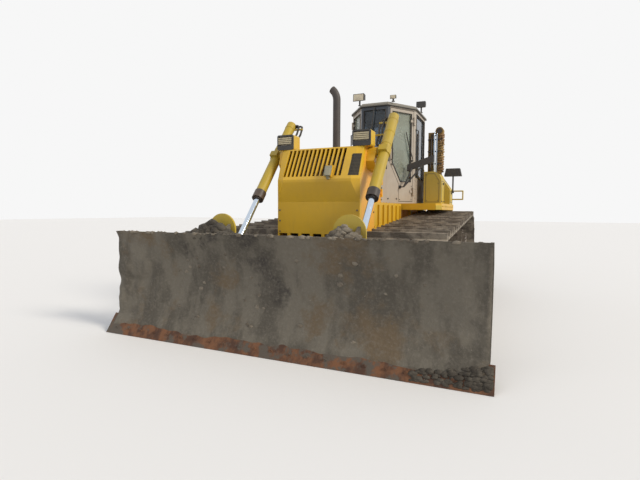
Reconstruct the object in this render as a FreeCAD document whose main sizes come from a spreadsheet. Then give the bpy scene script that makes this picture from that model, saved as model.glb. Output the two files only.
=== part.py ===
# Crawler bulldozer with a wide straight-tilt blade, in millimetres.
# It looks along -Y, its left side is +X, up is +Z, and the origin is on the ground under its middle.
import FreeCAD, Part
import Sketcher
import math
import os
from types import SimpleNamespace

V = FreeCAD.Vector
doc = FreeCAD.newDocument("bulldozer")
sheet = doc.addObject("Spreadsheet::Sheet", "sizes")

# Driving dimensions: alias, value, what it is. A name ending in _back is a distance behind the cutting edge.
TABLE = [
    ("seat_gap", 0.3, "clearance between pieces that seat on each other"),
    ("pin_gap", 0.1, "radial clearance of a pin in its bore"),
    ("swing_gap", 8, "clearance beside a piece that turns or slides"),
    ("blade_beyond", 385, "moldboard beyond the middle of a push arm"),
    ("blade_height", 1135, "ground to the moldboard's top edge"),
    ("blade_ground", 2, "cutting edge above the ground"),
    ("blade_radius", 980, "front face of the moldboard"),
    ("blade_top_back", 135, "top edge of the moldboard"),
    ("blade_skin", 28, "moldboard plate"),
    ("blade_end_plate", 28, "plate that closes each end"),
    ("blade_end_depth", 250, "end plate behind the top edge"),
    ("edge_height", 195, "cutting edge"),
    ("edge_thick", 32, "cutting edge"),
    ("bit_width", 480, "end bit"),
    ("bit_overhang", 38, "end bit beyond the moldboard"),
    ("bit_thick", 40, "end bit"),
    ("beam_low", 92, "lower stiffener of the blade, bottom"),
    ("beam_high", 560, "lower stiffener of the blade, top"),
    ("beam_back", 350, "rear face of the lower stiffener"),
    ("top_beam_low", 930, "upper stiffener, bottom"),
    ("top_beam_back", 330, "rear face of the upper stiffener"),
    ("rib_thick", 32, "upright rib between the stiffeners"),
    ("guard_plate_width", 330, "rod guard behind the blade's top edge"),
    ("guard_plate_back", 400, "front face of the rod guard"),
    ("guard_plate_low", 1065, "lower edge of the rod guard"),
    ("guard_plate_high", 1340, "top of the rod guard"),
    ("guard_plate_thick", 25, "rod guard"),
    ("track_gauge", 2050, "between the track centres"),
    ("shoe_width", 915, "track shoe"),
    ("shoe_count", 46, "shoes on each track"),
    ("chain_radius", 440, "chain pitch line round the idler"),
    ("rail_depth", 55, "pitch line to the rail surface"),
    ("link_rise", 50, "pitch line to the shoe"),
    ("shoe_thick", 22, "shoe plate"),
    ("grouser", 63, "grouser above the shoe plate"),
    ("link_width", 55, "one row of links"),
    ("link_apart", 92, "between the two rows of links"),
    ("idler_back", 1520, "idler centre"),
    ("wheelbase", 3250, "idler centre to sprocket centre"),
    ("sprocket_lift", 235, "sprocket centre above the idler"),
    ("sprocket_teeth", 27, "teeth of the sprocket"),
    ("tooth_depth", 84, "sprocket tooth"),
    ("level_end_ahead", 410, "rear end of the level bottom run ahead of the sprocket"),
    ("roller_radius", 100, "track roller tread"),
    ("roller_count", 8, "track rollers on each side"),
    ("first_roller_behind", 470, "foremost track roller behind the idler"),
    ("carrier_radius", 82, "carrier roller tread"),
    ("frame_beam_width", 300, "track frame"),
    ("frame_beam_low", 215, "lower edge of the track frame's side plates"),
    ("frame_beam_high", 630, "top of the track frame"),
    ("frame_wall", 22, "track frame plate"),
    ("trunnion_radius", 75, "trunnion that carries a push arm"),
    ("hull_clear", 117.5, "main frame side to the track"),
    ("hull_low", 415, "ground clearance"),
    ("hull_high", 1120, "main frame top"),
    ("hull_front_ahead", 262, "main frame front ahead of the idler"),
    ("hull_behind", 380, "main frame rear behind the sprocket"),
    ("bolster_height", 120, "cross piece under the radiator guard"),
    ("equalizer_behind", 780, "equalizer bar behind the idler"),
    ("equalizer_length", 200, "equalizer bar, fore and aft"),
    ("equalizer_height", 120, "equalizer bar"),
    ("pivot_ahead", 720, "pivot shaft ahead of the sprocket"),
    ("pivot_radius", 85, "pivot shaft"),
    ("winch_hole", 13, "threaded hole radius of the rear mounting face"),
    ("winch_wide", 640, "rear mounting holes, side to side"),
    ("winch_tall", 260, "rear mounting holes, up and down"),
    ("winch_high", 800, "middle of the rear mounting holes"),
    ("winch_depth", 70, "depth of the rear mounting holes"),
    ("drawbar_low", 620, "drawbar bottom"),
    ("drawbar_thick", 58, "drawbar"),
    ("drawbar_half", 150, "half the width of the drawbar"),
    ("drawbar_reach", 350, "drawbar behind the main frame"),
    ("drawbar_corner", 130, "sloped corner of the drawbar"),
    ("drawbar_hole", 28, "drawbar pin hole radius"),
    ("drawbar_hole_inset", 95, "pin hole from the drawbar's end"),
    ("mask_clear", 37.5, "radiator mask side to the track"),
    ("mask_ahead", 250, "foot of the radiator mask ahead of the idler"),
    ("mask_nose", 45.5, "nose of the mask in front of its foot"),
    ("mask_lean", 175, "top of the nose behind its lip"),
    ("mask_side_lean", 145, "top corner of the mask behind its foot"),
    ("mask_low", 1065, "lower edge of the radiator mask"),
    ("mask_fold", 1478, "fold where the nose begins"),
    ("mask_lip", 1710, "lip of the nose"),
    ("mask_lip_height", 30, "lip of the nose"),
    ("mask_high", 2125, "top of the radiator mask"),
    ("mask_facet", 95, "corner facet at the lip, side to side"),
    ("mask_facet_top", 83, "corner facet at the top, side to side"),
    ("mask_thick", 34, "plate of the mask"),
    ("mask_return", 58, "side return of the mask"),
    ("slot_count", 14, "slanted slots of the grille"),
    ("slot_pitch", 55, "slanted slots, middle to middle"),
    ("slot_width", 35, "slanted slot"),
    ("slot_middle", -70, "middle of the slots' lower ends, left of the mask's middle"),
    ("slot_low", 1778, "lower end of the slots"),
    ("slot_high", 2108, "upper end of the slots"),
    ("slot_slant", 22, "upper end of a slot to the left of its lower end"),
    ("vent_low", 1780, "side vent, bottom"),
    ("vent_high", 2030, "side vent, top"),
    ("vent_width", 112, "side vent"),
    ("vent_slits", 9, "slits of the side vent"),
    ("vent_slit", 19, "one slit of the side vent"),
    ("toe_slots", 7, "openings along the foot of the mask"),
    ("toe_slot_width", 112, "opening along the foot"),
    ("toe_slot_height", 34, "opening along the foot"),
    ("latch_side", 160, "latch box left of the middle"),
    ("latch_width", 80, "latch box"),
    ("latch_low", 1765, "latch box, bottom"),
    ("latch_high", 1900, "latch box, top"),
    ("latch_proud", 52, "latch box in front of the slots"),
    ("guard_depth", 430, "radiator guard behind the mask"),
    ("guard_wall", 32, "radiator guard side"),
    ("core_behind", 230, "radiator core behind the mask's foot"),
    ("core_thick", 140, "radiator core"),
    ("core_below", 92, "radiator core under the guard's roof"),
    ("lamp_inner", 385, "front lamp, inner side"),
    ("lamp_outer", 608, "front lamp, outer side"),
    ("lamp_height", 185, "front lamp"),
    ("lamp_depth", 165, "front lamp housing"),
    ("lamp_wall", 12, "front lamp housing plate"),
    ("lamp_bezel", 20, "black front frame of a lamp"),
    ("lamp_bar", 13, "guard bar of a lamp"),
    ("lamp_apron", 58, "closed lower part of a lamp's black front"),
    ("lamp_bars", 4, "guard bars of a lamp"),
    ("hood_step", 62, "engine hood side inside the guard's side"),
    ("hood_deck", 1490, "top of the hood's wide lower body"),
    ("hood_front_half", 440, "half the width of the hood's upper body at its front"),
    ("hood_rear_half", 165, "half the width of the hood's upper body at its rear"),
    ("hood_drop", 15, "engine hood below the mask's top"),
    ("hood_wall", 28, "hood plate"),
    ("hood_bevel", 52, "sloped edge of the hood"),
    ("hood_post", 62, "frame round the hood's openings"),
    ("hood_ribs", 7, "upright ribs on each side of the hood's lower body"),
    ("hood_rib", 24, "upright rib of the hood's lower body"),
    ("louvre_count", 6, "louvres of a hood door"),
    ("louvre_width", 14, "louvre"),
    ("louvre_height", 240, "louvre"),
    ("hinge_pin", 9, "hinge pin radius"),
    ("hinge_knuckle", 17, "hinge knuckle radius"),
    ("hinge_height", 130, "hinge"),
    ("hinge_inset", 100, "hinge from the end of a door"),
    ("engine_half", 290, "half the width of the engine"),
    ("engine_gap", 145, "engine from the guard and from the hood's rear wall"),
    ("engine_headroom", 150, "engine below the hood's top"),
    ("engine_beside", 55, "engine's upper part inside the hood's upper sides"),
    ("exhaust_radius", 52, "exhaust pipe"),
    ("exhaust_wall", 5, "exhaust pipe plate"),
    ("exhaust_behind", 835, "exhaust pipe behind the mask's top"),
    ("exhaust_side", -150, "exhaust pipe left of the middle"),
    ("exhaust_bend", 200, "bend at the exhaust pipe's mouth"),
    ("exhaust_turn", 50, "turn of the bend in degrees"),
    ("exhaust_high", 3050, "exhaust pipe mouth"),
    ("cab_ahead", 1210, "cab front ahead of the sprocket"),
    ("cab_slant", 530, "cab front to the corner behind the door"),
    ("cab_length", 1400, "cab front to cab rear"),
    ("cab_front_width", 440, "cab front face"),
    ("cab_width", 1130, "cab over its sides"),
    ("cowl_length", 140, "cowl ahead of the cab front"),
    ("cowl_half", 128, "half the width of the cowl's front face"),
    ("cowl_high", 2060, "top of the cowl"),
    ("cab_floor", 1500, "cab floor top"),
    ("cab_floor_thick", 58, "cab floor"),
    ("cab_top", 3150, "cab roof"),
    ("cab_roof_thick", 62, "cab roof"),
    ("cab_roof_bevel", 33, "sloped edge of the cab roof"),
    ("cab_eave", 25, "cab roof beyond the walls"),
    ("cab_wall", 42, "cab wall"),
    ("cab_sill", 1960, "lower edge of the side windows"),
    ("cab_front_sill_rise", 18, "lower edge of the front window above the cowl"),
    ("cab_rear_sill", 2200, "lower edge of the rear window"),
    ("cab_head", 3032, "upper edge of the windows"),
    ("cab_post", 70, "pillar beside a window"),
    ("door_sill_rise", 35, "lower edge of the doorway above the floor"),
    ("door_cut_high", 2170, "upper end of the door's sloped front corner"),
    ("door_cut_low", 1830, "lower end of the door's sloped front corner"),
    ("door_cut_run", 205, "door's sloped front corner, front to back"),
    ("door_frame", 48, "door frame round its window"),
    ("door_pane_low", 1870, "lower edge of the door window"),
    ("glass_thick", 8, "window glass"),
    ("seat_half", 250, "half the width of the seat"),
    ("seat_length", 520, "seat cushion"),
    ("seat_low", 280, "seat cushion above the floor"),
    ("seat_high", 430, "seat above the floor"),
    ("seat_back_high", 1050, "seat back above the floor"),
    ("seat_back_thick", 130, "seat back"),
    ("seat_behind", 175, "seat back from the cab's rear face"),
    ("console_half", 165, "half the width of the dash console"),
    ("console_front", 170, "dash console behind the cab's front face"),
    ("console_depth", 155, "dash console"),
    ("console_high", 760, "dash console above the floor"),
    ("roof_lamp_width", 190, "lamp on the cab roof"),
    ("roof_lamp_height", 125, "lamp on the cab roof"),
    ("roof_lamp_depth", 92, "lamp on the cab roof"),
    ("roof_lamp_stalk", 14, "stalk radius of a roof lamp"),
    ("mirror_length", 440, "long mirror on a door, side to side"),
    ("mirror_lift", 145, "outer end of the mirror above its inner end"),
    ("mirror_height", 112, "long mirror on a door"),
    ("mirror_thick", 38, "long mirror on a door"),
    ("mirror_inner", 478, "inner end of the mirror from the cab's middle"),
    ("mirror_behind", 340, "mirror behind the cab front"),
    ("mirror_low", 2042, "inner lower corner of the mirror"),
    ("mirror_reach", 92, "bend of the mirror's bracket outside the door"),
    ("mirror_foot", 235, "foot of the mirror's bracket above the door's lower edge"),
    ("mirror_rod", 9, "rod radius of the mirror's bracket"),
    ("platform_wall", 40, "cab platform plate"),
    ("fender_beyond", 525, "fender beyond the cab side"),
    ("fender_step", 40, "fender front behind the cab front"),
    ("fender_behind", 240, "fender rear behind the cab rear"),
    ("fender_deck", 58, "fender deck"),
    ("fender_skirt", 104, "outer edge of the fender"),
    ("fender_edge", 38, "plate of the fender's outer edge"),
    ("fender_stay", 42, "plates of the stay under a fender"),
    ("tank_gap", 28, "fuel tank behind the cab"),
    ("tank_depth", 330, "fuel tank"),
    ("tank_high", 2130, "fuel tank top"),
    ("tank_width", 1120, "fuel tank"),
    ("tank_bevel", 88, "sloped edge of the fuel tank"),
    ("tank_cap_radius", 62, "fuel cap"),
    ("tank_cap_rise", 34, "fuel cap"),
    ("box_clear", 120, "side box beside the cab"),
    ("box_behind", 745, "side box front behind the cab front"),
    ("box_length", 420, "side box"),
    ("box_outer", 985, "side box, outer side"),
    ("box_high", 2065, "side box top"),
    ("box_bevel", 125, "sloped top corner of the side box"),
    ("pannier_clear", 58, "rear side box beside the cab"),
    ("pannier_length", 400, "rear side box"),
    ("pannier_outer", 1080, "rear side box, outer side"),
    ("pannier_high", 2035, "rear side box top"),
    ("pannier_bevel_wide", 185, "sloped top of the rear side box, side to side"),
    ("pannier_bevel_tall", 265, "sloped top of the rear side box, up and down"),
    ("mast_inner", 640, "rear mast, inner side"),
    ("mast_width", 250, "rear mast over both its posts"),
    ("mast_post", 92, "one post of the rear mast"),
    ("mast_high", 2935, "top of the rear mast"),
    ("mast_cap_radius", 72, "round cap of the rear mast"),
    ("tail_lamp_side", 1100, "rear work lamp's stalk"),
    ("tail_lamp_low", 2025, "rear work lamp"),
    ("tail_lamp_height", 140, "rear work lamp"),
    ("tail_lamp_half", 122, "half the width of the rear work lamp"),
    ("tail_lamp_flare", 32, "rear work lamp wider at its foot"),
    ("tail_lamp_depth", 150, "rear work lamp"),
    ("rail_radius", 12, "handrail"),
    ("rail_out", 190, "handrail beyond the fender"),
    ("rail_high", 255, "handrail above the fender"),
    ("rail_drop", 155, "handrail, top to bottom"),
    ("rail_inset", 40, "handrail ahead of the rear side box's rear"),
    ("arm_clear", 47.5, "push arm beside the track"),
    ("arm_width", 140, "push arm"),
    ("arm_height", 250, "push arm"),
    ("arm_pivot_behind", 1430, "push arm trunnion behind the idler"),
    ("arm_pivot_high", 440, "push arm trunnion above ground"),
    ("arm_boss", 160, "boss round the trunnion"),
    ("ball_behind", 260, "ball of the push arm behind the blade's stiffener"),
    ("ball_radius", 62, "ball of the push arm"),
    ("ball_play", 30, "play of the open ball joint"),
    ("brace_foot_back", 1450, "brace pin on the push arm"),
    ("brace_foot_rise", 125, "brace pin above the push arm"),
    ("brace_head_behind", 92, "brace pin behind the blade's stiffener"),
    ("brace_head_high", 890, "brace pin on the blade"),
    ("brace_radius", 38, "brace tube"),
    ("brace_pin", 24, "brace pin radius"),
    ("brace_ball", 38, "ball on the pin at a brace's foot"),
    ("eye_radius", 58, "eye of brace or tilt cylinder"),
    ("eye_width", 56, "eye of brace or tilt cylinder"),
    ("eye_play", 0.9, "play round the ball at a brace's foot"),
    ("head_play", 14, "play round the open pin at a brace's head"),
    ("ear_gap", 18, "play beside an eye"),
    ("ear_thick", 26, "ear plate"),
    ("tilt_barrel_radius", 70, "tilt cylinder barrel"),
    ("tilt_rod_radius", 32, "tilt cylinder rod"),
    ("yoke_wall", 109.6, "cylinder yoke beside the radiator guard"),
    ("yoke_behind", 162, "yoke pin behind the mask's top"),
    ("yoke_below", 65, "yoke pin below the mask's top"),
    ("yoke_pin", 36, "yoke pin radius"),
    ("yoke_ring", 64, "yoke round the pin"),
    ("rod_eye_back", 500, "lift rod pin on the blade"),
    ("rod_eye_high", 799, "lift rod pin on the blade"),
    ("barrel_radius", 64, "lift cylinder barrel"),
    ("barrel_below", 720, "barrel below the yoke pin"),
    ("barrel_above", 650, "barrel above the yoke pin"),
    ("rod_radius", 35, "lift cylinder rod"),
    ("rod_length", 1440, "lift cylinder rod from its pin"),
    ("bore_above", 610, "bore of the barrel above the yoke pin"),
    ("rod_eye_radius", 68, "eye of the lift rod"),
    ("rod_eye_width", 72, "eye of the lift rod"),
    ("lug_gap", 26, "play beside the eye of the lift rod"),
    ("lug_thick", 40, "lug of the lift rod on the blade"),
]

# Sizes that follow from others: alias, formula, what it is.
FOLLOWING = [
    ("arm_spacing", "track_gauge + shoe_width + 2 * arm_clear + arm_width", "between the push arms"),
    ("blade_width", "arm_spacing + 2 * blade_beyond", "moldboard over its end plates"),
    ("axle_high", "chain_radius + link_rise + shoe_thick + grouser", "idler centre above ground"),
    ("sprocket_back", "idler_back + wheelbase", "sprocket centre"),
    ("level_end_back", "sprocket_back - level_end_ahead", "rear end of the level bottom run"),
    ("first_roller_back", "idler_back + first_roller_behind", "foremost track roller"),
    ("hull_width", "track_gauge - shoe_width - 2 * hull_clear", "main frame"),
    ("hull_front_back", "idler_back - hull_front_ahead", "main frame front"),
    ("hull_rear_back", "sprocket_back + hull_behind", "main frame rear"),
    ("overall_length", "hull_rear_back + drawbar_reach", "cutting edge to drawbar"),
    ("mask_width", "track_gauge - shoe_width - 2 * mask_clear", "radiator mask"),
    ("mask_back", "idler_back - mask_ahead", "foot of the radiator mask"),
    ("mask_top_back", "mask_back + mask_side_lean", "top corners of the radiator mask"),
    ("guard_rear_back", "mask_top_back + guard_depth", "rear face of the radiator guard"),
    ("hood_width", "mask_width - 2 * hood_step", "engine hood"),
    ("hood_high", "mask_high - hood_drop", "engine hood top"),
    ("cab_front_back", "sprocket_back - cab_ahead", "cab front face"),
    ("hood_rear_back", "cab_front_back - swing_gap", "rear face of the hood's lower body"),
    ("hood_top_back", "cab_front_back - cowl_length - swing_gap", "rear face of the hood's upper body"),
    ("cab_front_sill", "cowl_high + cab_front_sill_rise", "lower edge of the front window"),
    ("cab_corner_back", "cab_front_back + cab_slant", "corner behind the cab door"),
    ("cab_rear_back", "cab_front_back + cab_length", "cab rear face"),
    ("exhaust_back", "mask_top_back + exhaust_behind", "exhaust pipe"),
    ("fender_outer", "cab_width / 2 + fender_beyond", "outer edge of a fender"),
    ("fender_front_back", "cab_front_back + fender_step", "fender front"),
    ("fender_rear_back", "cab_rear_back + fender_behind", "fender rear"),
    ("tank_front_back", "cab_rear_back + tank_gap", "fuel tank front"),
    ("tank_rear_back", "tank_front_back + tank_depth", "fuel tank rear"),
    ("box_front_back", "cab_front_back + box_behind", "side box front"),
    ("box_rear_back", "box_front_back + box_length", "side box rear"),
    ("arm_pivot_back", "idler_back + arm_pivot_behind", "push arm trunnion"),
    ("ball_back", "beam_back + ball_behind", "ball of the push arm"),
    ("brace_foot_high", "arm_pivot_high + arm_height / 2 + brace_foot_rise", "brace pin on the push arm"),
    ("brace_head_back", "beam_back + brace_head_behind", "brace pin on the blade"),
    ("collar_radius", "barrel_radius * 1.15", "collar of a lift cylinder at its pin"),
    ("lift_spacing", "mask_width + 2 * (yoke_wall + swing_gap + collar_radius)", "between the lift cylinders"),
    ("yoke_back", "mask_top_back + yoke_behind", "yoke pin"),
    ("yoke_high", "mask_high - yoke_below", "yoke pin"),
]


class Size:
    """A number with the sheet expression that it comes from."""

    def __init__(self, value, text):
        self.value = float(value)
        self.text = text

    def __float__(self):
        return self.value

    def __neg__(self):
        return Size(-self.value, "(0 - " + self.text + ")")

    def __add__(self, other):
        other = as_size(other)
        return Size(self.value + other.value, "(" + self.text + " + " + other.text + ")")

    __radd__ = __add__

    def __sub__(self, other):
        other = as_size(other)
        return Size(self.value - other.value, "(" + self.text + " - " + other.text + ")")

    def __rsub__(self, other):
        return as_size(other) - self

    def __mul__(self, other):
        other = as_size(other)
        return Size(self.value * other.value, "(" + self.text + " * " + other.text + ")")

    __rmul__ = __mul__

    def __truediv__(self, other):
        other = as_size(other)
        return Size(self.value / other.value, "(" + self.text + " / " + other.text + ")")


def as_size(number):
    return number if isinstance(number, Size) else Size(number, repr(float(number)))


def root(size):
    return Size(math.sqrt(size.value), "sqrt(" + size.text + ")")


def lean(rise, run):
    """Turn about X that brings an upright bar onto a slope."""
    turn = math.degrees(math.atan2(rise.value, run.value)) - 90
    return Size(turn, "(atan2(" + rise.text + "; " + run.text + ") - 90 deg)")


for row, (alias, value, meaning) in enumerate(TABLE + FOLLOWING, start=1):
    sheet.set("A" + str(row), meaning)
    sheet.set("B" + str(row), "=" + str(value))
    sheet.setAlias("B" + str(row), alias)
doc.recompute()
S = SimpleNamespace(**{row[0]: Size(sheet.get(row[0]), "sizes." + row[0]) for row in TABLE + FOLLOWING})

NODES = {}


def bind(thing, prop, size):
    thing.setExpression(prop, as_size(size).text)


def back(distance):
    """Y of a point that lies this far behind the cutting edge."""
    return distance - S.overall_length / 2


def block(name, x, y, z):
    """A box between two values on each axis."""
    piece = doc.addObject("Part::Box", name)
    for side, base, (low, high) in (("Length", "x", x), ("Width", "y", y), ("Height", "z", z)):
        bind(piece, side, high - as_size(low))
        bind(piece, "Placement.Base." + base, low)
    return piece


TURNS = {"X": (V(0, 1, 0), 90), "Y": (V(1, 0, 0), -90), "Z": (V(0, 0, 1), 0)}


def place(piece, start, turn_axis=V(0, 0, 1), turn=0):
    piece.Placement = FreeCAD.Placement(V(0, 0, 0), FreeCAD.Rotation(turn_axis, float(turn)))
    for base, value in zip("xyz", start):
        bind(piece, "Placement.Base." + base, value)


def round_bar(name, axis, radius, start, length):
    """A cylinder that runs from start along +X, +Y or +Z."""
    piece = doc.addObject("Part::Cylinder", name)
    bind(piece, "Radius", radius)
    bind(piece, "Height", length)
    place(piece, start, *TURNS[axis])
    return piece


def leaning_bar(name, radius, start, end, x):
    """A cylinder at x from start to end, each given as (y, z)."""
    rise = end[1] - start[1]
    run = end[0] - start[0]
    piece = doc.addObject("Part::Cylinder", name)
    bind(piece, "Radius", radius)
    bind(piece, "Height", root(run * run + rise * rise))
    place(piece, (x, start[0], start[1]), V(1, 0, 0), lean(rise, run))
    bind(piece, "Placement.Rotation.Angle", lean(rise, run))
    return piece


def rod_chain(name, radius, points):
    """A round rod that runs through points in space, with ball corners."""
    pieces = []
    for number, (start, end) in enumerate(zip(points, points[1:])):
        legs = [end[k] - start[k] for k in range(3)]
        leg = doc.addObject("Part::Cylinder", name + "_leg" + str(number))
        bind(leg, "Radius", radius)
        bind(leg, "Height", root(legs[0] * legs[0] + legs[1] * legs[1] + legs[2] * legs[2]))
        turn = FreeCAD.Rotation(V(0, 0, 1), V(*[float(value) for value in legs]))
        place(leg, start, turn.Axis, math.degrees(turn.Angle))
        pieces.append(leg)
        if number:
            pieces.append(ball(name + "_corner" + str(number), radius, start))
    return fuse(name, pieces) if len(pieces) > 1 else pieces[0]


def ball(name, radius, centre):
    """A ball whose seam is turned away from the pins and tubes that meet it."""
    piece = doc.addObject("Part::Sphere", name)
    bind(piece, "Radius", radius)
    place(piece, centre, V(1, 1, 0), 50)
    return piece


def flat_sketch(body, plane, offset):
    sketch = body.newObject("Sketcher::SketchObject", body.Name + "_outline")
    ground = [item for item in body.Origin.OriginFeatures if item.Role == plane + "_Plane"][0]
    sketch.AttachmentSupport = [(ground, "")]
    sketch.MapMode = "FlatFace"
    bind(sketch, "AttachmentOffset.Base.z", offset)
    return sketch


def draw_outline(sketch, points):
    """A closed outline whose corners are held to the sheet."""
    count = len(points)
    corners = [V(float(u), float(w), 0) for u, w in points]
    for k in range(count):
        sketch.addGeometry(Part.LineSegment(corners[k], corners[(k + 1) % count]), False)
    for k in range(count):
        sketch.addConstraint(Sketcher.Constraint("Coincident", k, 2, (k + 1) % count, 1))
    for k, (u, w) in enumerate(points):
        for kind, value, mark in (("DistanceX", u, "u"), ("DistanceY", w, "w")):
            index = sketch.addConstraint(Sketcher.Constraint(kind, -1, 1, k, 1, float(value)))
            sketch.renameConstraint(index, mark + str(k))
            bind(sketch, "Constraints." + mark + str(k), value)


def slab(name, plane, points, low, high):
    """A padded outline: on YZ it runs along X, on XZ along Y, on XY along Z, between low and high."""
    body = doc.addObject("PartDesign::Body", name)
    low = as_size(low)
    high = as_size(high)
    sketch = flat_sketch(body, plane, -high if plane == "XZ" else low)
    draw_outline(sketch, points)
    pad = body.newObject("PartDesign::Pad", name + "_pad")
    pad.Profile = sketch
    bind(pad, "Length", high - low)
    return body


def taper(name, sections):
    """A solid with flat sides through level outlines, each given as (height, corners)."""
    whole = doc.addObject("Part::Loft", name)
    outlines = []
    for number, (level, points) in enumerate(sections):
        sketch = doc.addObject("Sketcher::SketchObject", name + "_level" + str(number))
        bind(sketch, "Placement.Base.z", level)
        draw_outline(sketch, points)
        outlines.append(sketch)
    whole.Sections = outlines
    whole.Solid = True
    whole.Ruled = True
    return whole


def group(name, pieces):
    whole = doc.addObject("Part::Compound", name)
    whole.Links = pieces
    return whole


def fuse(name, pieces):
    whole = doc.addObject("Part::MultiFuse", name)
    whole.Shapes = pieces
    whole.Refine = True
    return whole


def cut(name, base, tools):
    tool = tools[0] if len(tools) == 1 else fuse(name + "_tools", tools)
    whole = doc.addObject("Part::Cut", name)
    whole.Base = base
    whole.Tool = tool
    whole.Refine = True
    return whole


def overlap(name, first, second):
    whole = doc.addObject("Part::Common", name)
    whole.Base = first
    whole.Tool = second
    return whole


def mirror(name, piece):
    """The same piece on the other side of the machine."""
    twin = doc.addObject("Part::Mirroring", name)
    twin.Source = piece
    twin.Base = V(0, 0, 0)
    twin.Normal = V(1, 0, 0)
    return twin


def both_sides(name, piece):
    return group(name, [piece, mirror(name + "_twin", piece)])


def keep(node, piece):
    piece.Label = node
    NODES[node] = piece


def keep_pair(stem, piece):
    keep(stem + "_left", piece)
    keep(stem + "_right", mirror(stem + "_right_side", piece))


# Blade

edge_drop = S.edge_height - S.blade_ground
chord_run = S.blade_top_back / 2
chord_rise = (S.blade_height - S.blade_ground) / 2
half_chord = root(chord_run * chord_run + chord_rise * chord_rise)
sagitta_arm = root(S.blade_radius * S.blade_radius - half_chord * half_chord)
curve_back = chord_run - chord_rise / half_chord * sagitta_arm
curve_high = S.blade_ground + chord_rise + chord_run / half_chord * sagitta_arm


def blade_face(high, behind=0):
    """How far back the blade's curved face lies at a height, or a face behind it."""
    radius = S.blade_radius + behind
    drop = curve_high - high
    return curve_back + root(radius * radius - drop * drop)


def blade_roll(name, behind, half_width):
    """The round bar that the curved face is cut from."""
    start = (-half_width, back(curve_back), curve_high)
    return round_bar(name, "X", S.blade_radius + behind, start, half_width * 2)


def plate_pair(name, outline, middle, gap, thick):
    """Two upright plates on YZ, one on each side of a middle x."""
    inside = slab(name + "_in", "YZ", outline, middle - gap - thick, middle - gap)
    outside = slab(name + "_out", "YZ", outline, middle + gap, middle + gap + thick)
    return [inside, outside]


def build_edges():
    foot_run = blade_face(S.edge_height)
    slope = foot_run / edge_drop
    length = root(foot_run * foot_run + edge_drop * edge_drop)

    def outline(thick):
        return [
            (back(0), S.blade_ground),
            (back(thick * length / edge_drop), S.blade_ground),
            (back(foot_run + thick * edge_drop / length), S.edge_height - thick * foot_run / length),
            (back(foot_run), S.edge_height),
        ]

    reach = S.blade_width / 2 + S.bit_overhang
    middle = reach - S.bit_width - S.seat_gap
    keep("cutting_edge", slab("edge", "YZ", outline(S.edge_thick), -middle, middle))
    keep("end_bits", both_sides("bits", slab("bit", "YZ", outline(S.bit_thick), reach - S.bit_width, reach)))
    return slope, S.bit_thick * length / edge_drop + S.seat_gap


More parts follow.
